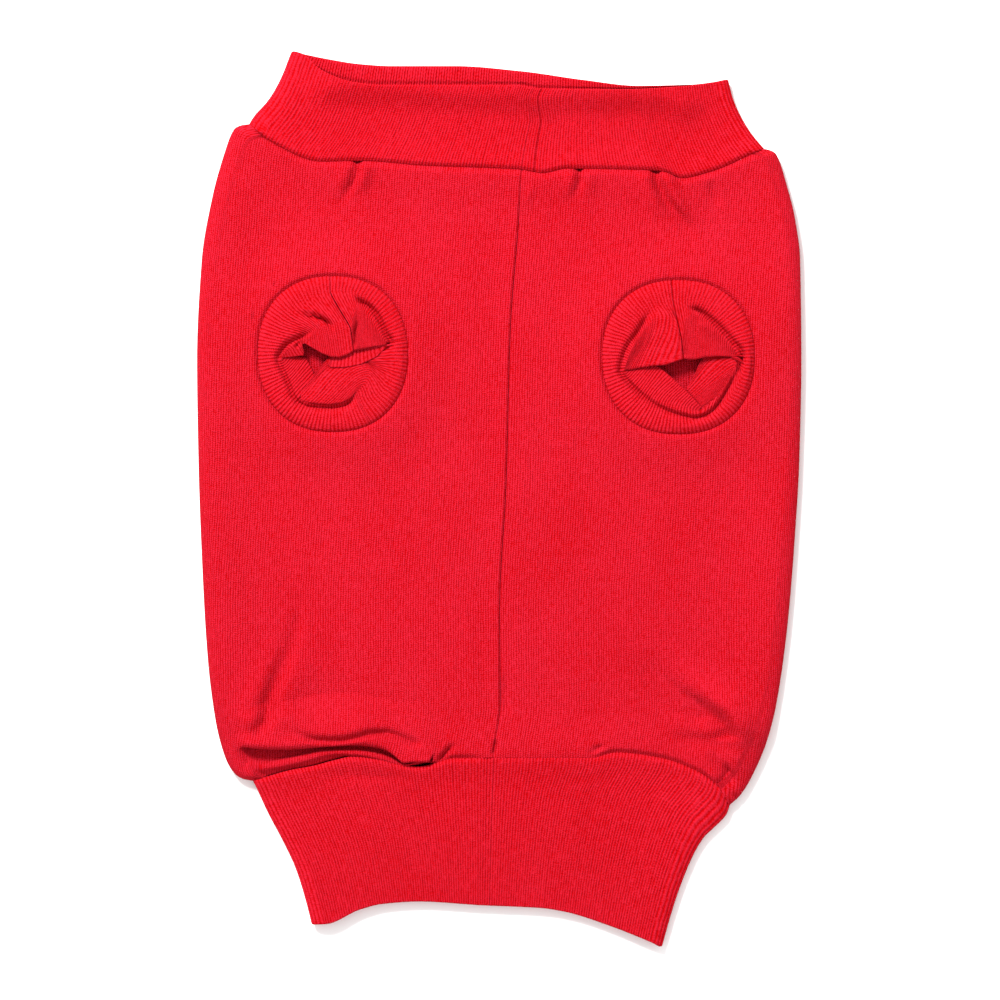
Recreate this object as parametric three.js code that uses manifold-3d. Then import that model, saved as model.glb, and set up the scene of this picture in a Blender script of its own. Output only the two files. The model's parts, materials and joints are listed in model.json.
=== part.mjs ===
// A dog's pullover sweatshirt, laid flat with the belly side up.
// Millimetres. X runs across, +Y points to the neck and +Z up from the surface that it lies on.
// The body is one cut piece, wrapped round and sewn along the belly. The neck band, waistband and
// the two leg cuffs are rib, folded double. Every piece is a closed wall, parted by a seam's gap.
import * as THREE from 'three';
import { mergeVertices } from 'three/addons/utils/BufferGeometryUtils.js';
import Module from 'manifold-3d';

const wasm = await Module();
wasm.setup();

// ---- driving dimensions ----
const JERSEY = 1.6; // wall of the brushed sweatshirt knit
const BAND_RIB = 1.8; // wall of the neck band and waistband, two layers of rib
const CUFF_RIB = 1.7; // wall of the leg cuffs, two layers of rib
const SEAM_GAP = 0.3; // between two pieces that are sewn together
const SLANT_MARGIN = 2.2; // a seam's slope counts this much more where the wrapped walls turn a fold
const LAID = 3.9; // height of the belly over the floor where it lies on the back
const ROLL = 4.5; // how far a side fold reaches in
const ROLL_LIFT = 2.6; // how much higher the cloth stands beside a side fold
const ROLL_REACH = 13; // how far in that rise fades
const END_ROLL_SHARE = 0.4; // what is left of it at the neck and waist
const END_REACH = 25; // how far in from the neck or waist the cloth is still drawn flat
const SEAM_LIFT = 1.5; // the bulk of the seam allowances at the neck and waist
const SEAM_LIFT_REACH = 11;
const SEAM_GROOVE = 0.7; // how deep the cloth dips into a seam
const SEAM_GROOVE_REACH = 1.6;
const BAND_LIFT = 0.3; // the double rib is a little thicker than the jersey
const BAND_ROLL_LIFT = 1.2;
const BAND_MEETS_BELLY = 5; // how far from the seam a band still follows the belly's height
const CUFF_LIFT = 2.3; // how much higher the belly stands round a leg cuff
const CUFF_LIFT_REACH = 13;
const BELLY_SEAM_STEP = 0.25; // the left half stands over the right one along the belly seam
const BELLY_SEAM_REACH = 4;
const RIB_RELIEF = 0.35; // a rib's height over the valley beside it
const BAND_RIB_PITCH = 1.0;
const CUFF_RIB_PITCH = 1.4;

// ---- outlines of the laid garment ----
const LEFT_SIDE = [
  { y: 134.7, x: -90.0 }, { y: 134.2, x: -93.4 }, { y: 132.8, x: -95.5 }, { y: 124.7, x: -98.8 },
  { y: 107.5, x: -103.5 }, { y: 86, x: -107.1 }, { y: 50, x: -108.8 }, { y: 14, x: -108.3 },
  { y: -29, x: -106.7 }, { y: -58, x: -104.9 }, { y: -80, x: -102.1 }, { y: -92.7, x: -98.8 },
  { y: -98.5, x: -95.6 }, { y: -100.8, x: -92.4 }, { y: -101.5, x: -88.6 },
];
const RIGHT_SIDE = [
  { y: 125.8, x: 95.2 }, { y: 125.2, x: 97.8 }, { y: 123.8, x: 99.6 }, { y: 114.7, x: 102.8 },
  { y: 100.3, x: 106.4 }, { y: 86, x: 108.2 }, { y: 50, x: 108.6 }, { y: 14, x: 107.9 },
  { y: -15, x: 106.2 }, { y: -44, x: 103.8 }, { y: -72.5, x: 99.9 }, { y: -87, x: 96.3 },
  { y: -101, x: 90.3 }, { y: -107, x: 86.4 }, { y: -110.3, x: 82.8 },
];
const BELLY_SEAM = [
  { y: 118, x: 8.1 }, { y: 98, x: 6.7 }, { y: 60, x: 3.8 }, { y: 5, x: 2.3 },
  { y: -40, x: 0 }, { y: -74, x: 0.2 }, { y: -92, x: -2 },
];
const NECK_SEAM_FRONT = [
  { x: -90, y: 134.7 }, { x: -82.3, y: 128.3 }, { x: -63.9, y: 121.1 }, { x: -50.6, y: 121.4 },
  { x: -27.2, y: 119.7 }, { x: 7.4, y: 118.3 }, { x: 15.7, y: 117 }, { x: 24.3, y: 118.6 },
  { x: 57.1, y: 117.9 }, { x: 65.7, y: 115.2 }, { x: 75.1, y: 117.2 }, { x: 95.2, y: 125.8 },
];
const NECK_SEAM_BACK = [
  { x: -90, y: 134.7 }, { x: -60, y: 128 }, { x: 0, y: 125.5 }, { x: 60, y: 123.5 }, { x: 95.2, y: 125.8 },
];
const WAIST_SEAM_FRONT = [
  { x: -88.6, y: -101.5 }, { x: -75.8, y: -97 }, { x: -60.3, y: -94.1 }, { x: -44.5, y: -92.9 },
  { x: -28.3, y: -95.9 }, { x: -16.4, y: -93.1 }, { x: 33.3, y: -93.1 }, { x: 42, y: -91.2 },
  { x: 57.8, y: -93.1 }, { x: 70.7, y: -97.7 }, { x: 78.3, y: -103.1 }, { x: 82.8, y: -110.3 },
];
const WAIST_SEAM_BACK = [
  { x: -88.6, y: -101.5 }, { x: -60, y: -98 }, { x: 0, y: -97 }, { x: 60, y: -99 }, { x: 82.8, y: -110.3 },
];
const NECK_LEFT = [
  { y: 134.7, x: -90 }, { y: 137.7, x: -88.2 }, { y: 142, x: -84.2 }, { y: 146.3, x: -81.2 },
  { y: 152.8, x: -77.9 }, { y: 159.3, x: -75.4 }, { y: 160.9, x: -74.7 },
];
const NECK_RIGHT = [
  { y: 125.8, x: 95.2 }, { y: 131.2, x: 90.7 }, { y: 137.7, x: 86.7 }, { y: 144.2, x: 83.9 },
  { y: 150.7, x: 82.3 },
];
const NECK_EDGE_FRONT = [
  { x: -74.7, y: 160.9 }, { x: -71.1, y: 160 }, { x: -63.9, y: 154 }, { x: -53.5, y: 149.8 },
  { x: -41.6, y: 148.5 }, { x: 7.4, y: 148.5 }, { x: 15, y: 147.3 }, { x: 43, y: 147.1 },
  { x: 68.6, y: 148.4 }, { x: 82.3, y: 150.7 },
];
const NECK_EDGE_BACK = [
  { x: -74.7, y: 160.9 }, { x: -61.7, y: 158.2 }, { x: -50.2, y: 156.4 }, { x: -38.7, y: 155.7 },
  { x: -15.7, y: 155.7 }, { x: 7.4, y: 153.9 }, { x: 30.4, y: 150.7 }, { x: 50, y: 148.6 },
  { x: 68.6, y: 149 }, { x: 82.3, y: 150.7 },
];
const WAIST_LEFT = [
  { y: -101.5, x: -88.6 }, { y: -104.2, x: -87.3 }, { y: -112.9, x: -83.3 }, { y: -121.5, x: -78.7 },
  { y: -133, x: -73.3 }, { y: -144.5, x: -69.7 }, { y: -153.2, x: -67.5 },
];
const WAIST_RIGHT = [
  { y: -110.3, x: 82.8 }, { y: -113, x: 82 }, { y: -118.6, x: 76.9 }, { y: -121.5, x: 73.8 },
  { y: -127.3, x: 70.2 }, { y: -138.8, x: 65.3 }, { y: -150.3, x: 61.5 }, { y: -161.1, x: 58.5 },
];
const HEM = [
  { x: -67.5, y: -153.2 }, { x: -62, y: -152.9 }, { x: -50.2, y: -147.8 }, { x: -41.6, y: -145.7 },
  { x: -28.8, y: -144.9 }, { x: -7, y: -146.2 }, { x: 14.6, y: -147.2 }, { x: 23.2, y: -148.5 },
  { x: 40.5, y: -153.9 }, { x: 58.5, y: -161.1 },
];

// ---- the largest folds: a line from start to end, its half width and its height, down if negative ----
const BODY_FOLDS = [
  { from: [-51, 121], to: [-58, 107], width: 3.5, height: -0.9 }, // gather under the neck seam, left
  { from: [26, 119], to: [26, 108], width: 3.5, height: -0.8 }, // dimple under the neck seam
  { from: [57, 118], to: [70, 94], width: 3.5, height: -1.0 }, // slanting crease, right
  { from: [75, 117], to: [78, 108], width: 3, height: -0.7 },
  { from: [-72, -42], to: [-84, -82], width: 6, height: -0.8 }, // soft crease down the left flank
  { from: [62, -67], to: [84, -84], width: 6, height: -1.1 }, // soft dent over the right waist
  { from: [84, -93], to: [80, -104], width: 3.5, height: -1.0 },
  { from: [-92, -84], to: [-30, -87], width: 5, height: 1.0 }, // roll over the tuck at the waist
  { from: [-92, -92.5], to: [-30, -91.5], width: 2.6, height: -2.0 }, // the tuck itself
  { from: [-12, -38], to: [-4, -90], width: 3, height: 0.35 }, // seam allowance showing through
];
const WAIST_FOLDS = [
  { from: [-80, -103.5], to: [-26, -102], width: 2.8, height: -1.0 }, // crease under the tucked seam
];

// ---- leg cuffs, in their own X and Y from the middle of the leg hole ----
// A cuff's mouth is a star. tip is the end of each arm, corner the place where it meets the open middle.
// Flaps lie between the arms: flap k runs from arm k to arm k + 1. level is each flap's layer, 2 the top.
// crease is the line round the flaps where the outer ring dips: its radius at an angle in degrees
// counterclockwise from +X, and its depth as a share of the deepest.
const LEG_CUFFS = [
  {
    name: 'leg_cuff_left', x: -59.9, y: 52, across: 27, along: 28, seam: 91,
    arms: [
      { tip: [20.9, 4.0], corner: [-2.2, -1.8] },
      { tip: [-19.2, -1.4], corner: [-9.6, 0.4] },
      { tip: [-12.6, -16.9], corner: [-6.1, -7.2] },
    ],
    level: [2, 0, 1],
    crease: [
      { at: 11, radius: 21.4, dip: 1 }, { at: 39, radius: 21, dip: 1 },
      { at: 66, radius: 21.4, dip: 0.8 }, { at: 95, radius: 18.5, dip: 0.1 },
      { at: 128, radius: 17.4, dip: 0.5 }, { at: 157, radius: 15.5, dip: 0.8 },
      { at: 183, radius: 19.3, dip: 1 }, { at: 211, radius: 18.6, dip: 1 },
      { at: 235, radius: 21.8, dip: 1 }, { at: 256, radius: 19.4, dip: 1 },
      { at: 290, radius: 18.2, dip: 0.8 }, { at: 325, radius: 19.5, dip: 0.1 },
    ],
  },
  {
    name: 'leg_cuff_right', x: 64.3, y: 50.9, across: 27.4, along: 27.7, seam: 94,
    arms: [
      { tip: [22.7, 1.1], corner: [7.9, -0.9] },
      { tip: [-20.5, -4.3], corner: [-6.9, -2.6] },
      { tip: [9.0, -20.4], corner: [2.5, -11.2] },
    ],
    level: [2, 1, 0],
    crease: [
      { at: 3, radius: 22.7, dip: 1 }, { at: 41, radius: 18.8, dip: 1 },
      { at: 80, radius: 17.5, dip: 0.8 }, { at: 104, radius: 17.4, dip: 0.2 },
      { at: 132, radius: 17.2, dip: 0.9 }, { at: 161, radius: 17.6, dip: 1 },
      { at: 192, radius: 20.9, dip: 1 }, { at: 233, radius: 18.5, dip: 0.9 },
      { at: 260, radius: 18.7, dip: 0.8 }, { at: 294, radius: 22.1, dip: 1 },
      { at: 322, radius: 21.1, dip: 1 }, { at: 344, radius: 21.8, dip: 1 },
    ],
  },
];
const CUFF_ROWS = 4; // stretches from the sewn edge to the mouth
const CUFF_INSIDE_STEPS = 40;
const SQUARENESS = 2.25; // the leg holes are a little squarer than an ellipse
const CREASE_DIP = 1.6; // deepest dip of the outer ring at the crease
const RIM_DIP = 0.2; // the cuff's sewn edge under the belly's
const RIDGE_INSET = 2.6; // the flaps roll over this far inside the crease
const SHOULDER_OUTSET = 2.4; // the outer ring stays raised up to this far outside the crease
const SHOULDER_LIFT = 1.0; // its height over the hole's edge
const RIDGE_LIFT = 1.6; // the flaps' roll over the hole's edge
const FLAP_HEIGHTS = [3.7, 5.95, 8.2]; // top of the lowest, middle and upper flap at the mouth
const FLAP_OVERLAP = 0.4; // how far each flap reaches past the middle line of an arm
const TIP_CLEARANCE = 0.45; // how far the two flaps stand off that line at the arm's tip
const LOWER_ROLL = 0.4; // how much lower each lower flap's roll stands
const TIP_INSET = 0.8; // the mouth's arms end at this share of their tip's radius
const TIP_DROP = 0.6; // the mouth at an arm's tip under the flaps' roll
const SPREAD_BY = 0.42; // share of an arm's length by which its two flaps are a full layer apart

// ---- stretches of a wrapped piece: belly left of the seam, left fold, back, right fold, belly right ----
const LOOP = { leftFold: 0.24, back: 0.28, rightFold: 0.72, bellyRight: 0.76 };
const LOOP_STEPS = [17, 5, 6, 5, 17]; // how many flat steps each stretch takes, alike on all that meet
const BELLY_HALF = 95; // width of the belly on one side of its seam
const BODY_ROWS = 28;
const BODY_INSIDE_ROWS = 12;
const END_CROWDING = 0.85; // how much closer the rows stand at the neck and waist, from 0 to 1
const HOLE_STEPS = 60;

// ---- rib bands: slit is where round the loop the band's own seam is, rows the shares of its height ----
const NECK_BAND = { slit: 0.985, leftWidth: 83, rightWidth: 74, rows: [0, 0.12, 0.45, 1] };
const WAISTBAND = { slit: 0.007, leftWidth: 71, rightWidth: 68, rows: [0, 0.08, 0.18, 1] };

const lerp = (a, b, t) => a + (b - a) * t;
const bell = (distance, reach) => Math.exp(-((distance / reach) ** 2));
const smooth = (from, to, x) => (from < to ? THREE.MathUtils.smoothstep(x, from, to)
  : 1 - THREE.MathUtils.smoothstep(x, to, from));

/** A smooth curve through a table's rows: value is a function of the column named by. */
function through(rows, by, value) {
  const sorted = [...rows].sort((a, b) => a[by] - b[by]);
  const slope = sorted.map((row, i) => {
    const before = sorted[Math.max(i - 1, 0)];
    const after = sorted[Math.min(i + 1, sorted.length - 1)];
    return (after[value] - before[value]) / (after[by] - before[by]);
  });
  return (at) => {
    const last = sorted.length - 2;
    const next = sorted.findIndex((row) => row[by] > at);
    const i = next < 0 ? last : Math.max(next - 1, 0);
    const span = sorted[i + 1][by] - sorted[i][by];
    const t = THREE.MathUtils.clamp((at - sorted[i][by]) / span, 0, 1);
    const rise = t * t * (3 - 2 * t);
    const ease = t * (1 - t) * span;
    return lerp(sorted[i][value], sorted[i + 1][value], rise)
      + ease * ((1 - t) * slope[i] - t * slope[i + 1]);
  };
}

/** count + 1 even steps from a to b. */
const steps = (a, b, count) => Array.from({ length: count + 1 }, (_, i) => lerp(a, b, i / count));

/** Places round the loop from 0 to 1, with the given number of steps in each of its stretches. */
function loopPlaces(counts) {
  const bounds = [0, LOOP.leftFold, LOOP.back, LOOP.rightFold, LOOP.bellyRight, 1];
  return [0, ...counts.flatMap((count, i) => steps(bounds[i], bounds[i + 1], count).slice(1))];
}

const leftSide = through(LEFT_SIDE, 'y', 'x');
const rightSide = through(RIGHT_SIDE, 'y', 'x');
const bellySeam = through(BELLY_SEAM, 'y', 'x');
const neckSeam = { front: through(NECK_SEAM_FRONT, 'x', 'y'), back: through(NECK_SEAM_BACK, 'x', 'y') };
const waistSeam = { front: through(WAIST_SEAM_FRONT, 'x', 'y'), back: through(WAIST_SEAM_BACK, 'x', 'y') };
const neckEdge = { front: through(NECK_EDGE_FRONT, 'x', 'y'), back: through(NECK_EDGE_BACK, 'x', 'y') };
const hem = { front: through(HEM, 'x', 'y'), back: through(HEM, 'x', 'y') };

/** Height that a list of folds adds at (x, y): each is a bell across its line, fading past its ends. */
function foldHeight(folds, x, y) {
  return folds.reduce((sum, { from, to, width, height }) => {
    const along = [to[0] - from[0], to[1] - from[1]];
    const length2 = along[0] ** 2 + along[1] ** 2;
    const t = ((x - from[0]) * along[0] + (y - from[1]) * along[1]) / length2;
    const near = THREE.MathUtils.clamp(t, 0, 1);
    const away = Math.hypot(x - from[0] - near * along[0], y - from[1] - near * along[1]);
    return sum + height * bell(away, width);
  }, 0);
}

/** Distance from (x, y) out to the edge of a leg hole, negative inside it. */
function fromLegHole({ x: cx, y: cy, across, along }, x, y) {
  const reach = (Math.abs((x - cx) / across) ** SQUARENESS + Math.abs((y - cy) / along) ** SQUARENESS)
    ** (1 / SQUARENESS);
  return Math.hypot(x - cx, y - cy) * (1 - 1 / Math.max(reach, 1e-6));
}

/** The rise and the groove of the cloth at a distance from a cross seam. */
function seamHeight(distance) {
  return SEAM_LIFT * bell(distance, SEAM_LIFT_REACH) - SEAM_GROOVE * bell(distance, SEAM_GROOVE_REACH);
}

/** Height of the belly's outer face over the floor. */
function bellyHeight(x, y, left, right) {
  const fromSide = Math.max(Math.min(x - left, right - x) - ROLL, 0);
  const fromNeck = neckSeam.front(x) - y;
  const fromWaist = y - waistSeam.front(x);
  const inside = smooth(0, END_REACH, Math.min(fromNeck, fromWaist));
  const fromBellySeam = bellySeam(y) - x;
  const step = BELLY_SEAM_STEP * Math.sign(fromBellySeam) * bell(fromBellySeam, BELLY_SEAM_REACH);
  const fromCuff = Math.min(...LEG_CUFFS.map((cuff) => Math.max(fromLegHole(cuff, x, y), 0)));
  const raised = LAID + lerp(END_ROLL_SHARE, 1, inside) * ROLL_LIFT * bell(fromSide, ROLL_REACH)
    + CUFF_LIFT * bell(fromCuff, CUFF_LIFT_REACH) + seamHeight(fromNeck) + seamHeight(fromWaist)
    + step * inside + foldHeight(BODY_FOLDS, x, y);
  return Math.max(raised, LAID);
}

/** Point of a wrapped piece's cross section, in X and Z. w runs once round from the belly seam, by the
 * left fold, the back and the right fold. depth is the distance in from the outer face. */
function crossSection(w, { left, right, seam, height }, depth) {
  const { leftFold, back, rightFold, bellyRight } = LOOP;
  const fold = (edge, side, turn) => {
    const middle = edge + side * ROLL;
    const half = height(middle) / 2;
    const angle = Math.PI * (0.5 + turn);
    return { x: middle + side * (ROLL - depth) * Math.cos(angle), z: half + (half - depth) * Math.sin(angle) };
  };
  if (w < leftFold) {
    const x = lerp(seam, left + ROLL, w / leftFold);
    return { x, z: height(x) - depth };
  }
  if (w < back) return fold(left, 1, (w - leftFold) / (back - leftFold));
  if (w < rightFold) {
    return { x: lerp(left + ROLL, right - ROLL, (w - back) / (rightFold - back)), z: depth };
  }
  if (w < bellyRight) return fold(right, -1, 1 - (w - rightFold) / (bellyRight - rightFold));
  const x = lerp(right - ROLL, seam, (w - bellyRight) / (1 - bellyRight));
  return { x, z: height(x) - depth };
}

const FOLD_MIDDLE = { left: (LOOP.leftFold + LOOP.back) / 2, right: (LOOP.rightFold + LOOP.bellyRight) / 2 };
const isFront = (w) => w < FOLD_MIDDLE.left || w > FOLD_MIDDLE.right;

/** A wrapped piece between two edges, as a function of w round it and v along it. start and end say how
 * Y runs across each edge, front and back; left, right and seam give X at a Y; height is its front face. */
function wrapped({ start, end, startSides, endSides, left, right, seam, height, offset }) {
  const knots = loopPlaces(LOOP_STEPS);
  const knotY = (edge, sides) => knots.map((w) => {
    const { x } = crossSection(w, { ...sides, seam: seam(edge.front(0)), height: () => LAID }, 0);
    return (isFront(w) ? edge.front : edge.back)(x);
  });
  const startY = knotY(start, startSides);
  const endY = knotY(end, endSides);
  const clear = knots.map((w) => { // along Y, so that the gap across a slanting seam is still offset
    const { x } = crossSection(w, { ...startSides, seam: seam(start.front(0)), height: () => LAID }, 0);
    const edge = isFront(w) ? start.front : start.back;
    return offset * Math.hypot(1, SLANT_MARGIN * (edge(x + 1) - edge(x - 1)) / 2);
  });
  const edgeY = (ys, w) => {
    const i = Math.min(Math.max(knots.findIndex((knot) => knot > w) - 1, 0), knots.length - 2);
    return lerp(ys[i], ys[i + 1], (w - knots[i]) / (knots[i + 1] - knots[i]));
  };
  const ends = (edge, sides) => [edge.front(sides.left), edge.front(sides.right)];
  const [startLeft, startRight] = ends(start, startSides);
  const [endLeft, endRight] = ends(end, endSides);
  return (turn, v, depth) => {
    const w = turn - Math.floor(turn);
    const y = lerp(edgeY(startY, w), edgeY(endY, w), v);
    const sides = { left: left(lerp(startLeft, endLeft, v)), right: right(lerp(startRight, endRight, v)) };
    const section = { ...sides, seam: seam(y), height: (x) => height(x, y, sides.left, sides.right) };
    const { x, z } = crossSection(w, section, depth);
    return new THREE.Vector3(x, y + lerp(edgeY(clear, w), offset, v), z);
  };
}

const NECK_SIDES = { left: LEFT_SIDE[0].x, right: RIGHT_SIDE[0].x };
const WAIST_SIDES = { left: LEFT_SIDE.at(-1).x, right: RIGHT_SIDE.at(-1).x };
const MOUTH_SIDES = { left: NECK_LEFT.at(-1).x, right: NECK_RIGHT.at(-1).x };
const HEM_SIDES = { left: WAIST_LEFT.at(-1).x, right: WAIST_RIGHT.at(-1).x };

const bodySurface = wrapped({
  start: neckSeam, end: waistSeam, startSides: NECK_SIDES, endSides: WAIST_SIDES,
  left: leftSide, right: rightSide, seam: bellySeam, height: bellyHeight, offset: 0,
});

/** Height of a band's front face: flat but for its folds, and as high as the belly along its seam. */
function bandHeight(seamCurve, folds) {
  return (x, y, left, right) => {
    const fromSide = Math.max(Math.min(x - left, right - x) - ROLL, 0);
    const flat = LAID + BAND_LIFT + BAND_ROLL_LIFT * bell(fromSide, ROLL_REACH) + foldHeight(folds, x, y);
    const away = y - seamCurve.front(x);
    const raised = lerp(flat, bellyHeight(x, y, left, right), bell(away, BAND_MEETS_BELLY));
    return Math.max(raised, LAID + BAND_LIFT);
  };
}

const neckSurface = wrapped({
  start: neckSeam, end: neckEdge, startSides: NECK_SIDES, endSides: MOUTH_SIDES,
  left: through(NECK_LEFT, 'y', 'x'), right: through(NECK_RIGHT, 'y', 'x'), seam: bellySeam,
  height: bandHeight(neckSeam, []), offset: SEAM_GAP,
});
const waistSurface = wrapped({
  start: waistSeam, end: hem, startSides: WAIST_SIDES, endSides: HEM_SIDES,
  left: through(WAIST_LEFT, 'y', 'x'), right: through(WAIST_RIGHT, 'y', 'x'), seam: bellySeam,
  height: bandHeight(waistSeam, WAIST_FOLDS), offset: -SEAM_GAP,
});

// ---- closed walls from an outer and an inner grid ----

/** Triangles between two edges that run side by side, each a list of { index, at } with at from 0 to 1. */
function zip(edgeA, edgeB) {
  const triangles = [];
  let a = 0;
  let b = 0;
  while (a < edgeA.length - 1 || b < edgeB.length - 1) {
    const nextA = a < edgeA.length - 1 ? edgeA[a + 1].at : Infinity;
    const nextB = b < edgeB.length - 1 ? edgeB[b + 1].at : Infinity;
    if (nextA <= nextB) {
      triangles.push([edgeA[a].index, edgeA[a + 1].index, edgeB[b].index]);
      a += 1;
    } else {
      triangles.push([edgeA[a].index, edgeB[b + 1].index, edgeB[b].index]);
      b += 1;
    }
  }
  return triangles;
}

/** A closed mesh of an outer and an inner face, with plain strips round the four edges between them.
 * Each face is { ws, vs, point(w, v) }, and the two may have different steps. */
function closedWall(outer, inner) {
  const points = [];
  const triangles = [];
  const lay = ({ ws, vs, point }, flip) => {
    const first = points.length;
    vs.forEach((v) => ws.forEach((w) => points.push(point(w, v))));
    const index = (i, j) => first + j * ws.length + i;
    for (let j = 0; j < vs.length - 1; j += 1) {
      for (let i = 0; i < ws.length - 1; i += 1) {
        const [a, b, c, d] = [index(i, j), index(i + 1, j), index(i + 1, j + 1), index(i, j + 1)];
        triangles.push(flip ? [a, c, b] : [a, b, c], flip ? [a, d, c] : [a, c, d]);
      }
    }
    const [w0, w1] = [ws[0], ws.at(-1)];
    const row = (j) => ws.map((w, i) => ({ index: index(i, j), at: (w - w0) / (w1 - w0) }));
    const column = (i) => vs.map((v, j) => ({ index: index(i, j), at: v }));
    return { start: row(0), end: row(vs.length - 1), left: column(0), right: column(ws.length - 1) };
  };
  const out = lay(outer, false);
  const into = lay(inner, true);
  const reversed = (list) => list.map(([a, b, c]) => [a, c, b]);
  triangles.push(...reversed(zip(out.start, into.start)), ...zip(out.end, into.end));
  triangles.push(...zip(out.left, into.left), ...reversed(zip(out.right, into.right)));
  const volume = triangles.reduce(
    (sum, [a, b, c]) => sum + points[a].dot(points[b].clone().cross(points[c])), 0);
  return { points, triangles: volume < 0 ? reversed(triangles) : triangles };
}

function toGeometry({ points, triangles }) {
  const geometry = new THREE.BufferGeometry().setFromPoints(points);
  geometry.setIndex(triangles.flat());
  return geometry;
}

function toManifold(geometry) {
  const bare = geometry.clone();
  bare.deleteAttribute('normal');
  bare.deleteAttribute('uv');
  const merged = mergeVertices(bare, 1e-5);
  return new wasm.Manifold(new wasm.Mesh({
    numProp: 3,
    vertProperties: new Float32Array(merged.attributes.position.array),
    triVerts: new Uint32Array(merged.index.array),
  }));
}

function fromManifold(solid) {
  const { vertProperties, triVerts } = solid.getMesh();
  const geometry = new THREE.BufferGeometry();
  geometry.setAttribute('position', new THREE.BufferAttribute(vertProperties, 3));
  geometry.setIndex(new THREE.BufferAttribute(triVerts, 1));
  return geometry;
}

/** Steps from 0 to 1 that draw closer towards both ends. */
function closerAtEnds(count) {
  return steps(0, 1, count).map((t) => t - (END_CROWDING * Math.sin(2 * Math.PI * t)) / (2 * Math.PI));
}

/** Places once round from one side of a slit in the loop to its other side. */
function roundLoop(counts, slit, halfGap) {
  const later = loopPlaces(counts).slice(1).map((w) => (w <= slit + halfGap ? w + 1 : w));
  const between = later.filter((w) => w > slit + halfGap * 2 && w < slit + 1 - halfGap * 2);
  return [slit + halfGap, ...between.sort((a, b) => a - b), slit + 1 - halfGap];
}

/** Half of a seam's gap as a share of the loop, for a piece whose belly half is this wide. */
const halfGapShare = (halfWidth) => ((SEAM_GAP / 2) / halfWidth) * LOOP.leftFold;

/** The body's wall from neck to waist, with the two leg holes cut through its belly side alone. */
function bodyGeometry() {
  const places = roundLoop(LOOP_STEPS, 0, halfGapShare(BELLY_HALF));
  const wall = closedWall(
    { ws: places, vs: closerAtEnds(BODY_ROWS), point: (w, v) => bodySurface(w, v, 0) },
    { ws: places, vs: closerAtEnds(BODY_INSIDE_ROWS), point: (w, v) => bodySurface(w, v, JERSEY) },
  );
  const cutFloor = JERSEY + 0.9; // between the back and the belly
  const cutHeight = 20;
  const holes = LEG_CUFFS.map((cuff) => {
    const edge = steps(0, 2 * Math.PI, HOLE_STEPS).slice(1).map((angle) => legHolePoint(cuff, angle, 1));
    const shape = new THREE.Shape(edge.map(({ x, y }) => new THREE.Vector2(x, y)));
    const prism = new THREE.ExtrudeGeometry(shape, { depth: cutHeight, bevelEnabled: false });
    return toManifold(prism.translate(0, 0, cutFloor));
  });
  return fromManifold(holes.reduce((solid, hole) => solid.subtract(hole), toManifold(toGeometry(wall))));
}

/** A rib's valley as a depth under its crest; turns counts ribs. */
const ribDepth = (turns) => (RIB_RELIEF * (1 - Math.cos(2 * Math.PI * turns))) / 2;

/** A rib band: crests and valleys along its front and folds, plain inside and underneath. */
function bandGeometry(surface, { slit, leftWidth, rightWidth, rows }) {
  const ribs = {
    left: Math.round(leftWidth / BAND_RIB_PITCH),
    fold: Math.round(((Math.PI / 2) * (ROLL + LAID / 2)) / BAND_RIB_PITCH),
    right: Math.round(rightWidth / BAND_RIB_PITCH),
  };
  const valley = (turn) => {
    const w = turn - Math.floor(turn);
    if (w < LOOP.leftFold) return ribDepth((w / LOOP.leftFold) * ribs.left);
    if (w < LOOP.back) return ribDepth(((w - LOOP.leftFold) / (LOOP.back - LOOP.leftFold)) * ribs.fold);
    if (w < LOOP.rightFold) return 0;
    if (w < LOOP.bellyRight) {
      return ribDepth(((w - LOOP.rightFold) / (LOOP.bellyRight - LOOP.rightFold)) * ribs.fold);
    }
    return ribDepth(((w - LOOP.bellyRight) / (1 - LOOP.bellyRight)) * ribs.right);
  };
  const halfGap = halfGapShare((leftWidth + rightWidth) / 2);
  const ribbed = [ribs.left * 2, ribs.fold * 2, LOOP_STEPS[2], ribs.fold * 2, ribs.right * 2];
  return toGeometry(closedWall(
    { ws: roundLoop(ribbed, slit, halfGap), vs: rows, point: (w, v) => surface(w, v, valley(w)) },
    { ws: roundLoop(LOOP_STEPS, slit, halfGap), vs: rows, point: (w, v) => surface(w, v, BAND_RIB) },
  ));
}

// ---- leg cuffs ----

/** Point on a leg hole's outline, or inside it at a share of its radius. */
function legHolePoint({ x, y, across, along }, angle, share) {
  const [c, s] = [Math.cos(angle), Math.sin(angle)];
  const radius = (Math.abs(c / across) ** SQUARENESS + Math.abs(s / along) ** SQUARENESS) ** (-1 / SQUARENESS);
  return { x: x + radius * share * c, y: y + radius * share * s, radius };
}

/** How far round an angle lies from another, counterclockwise, from 0 to a full turn. */
function turnFrom(from, angle) {
  return ((angle - from) % (2 * Math.PI) + 2 * Math.PI) % (2 * Math.PI);
}

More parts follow.
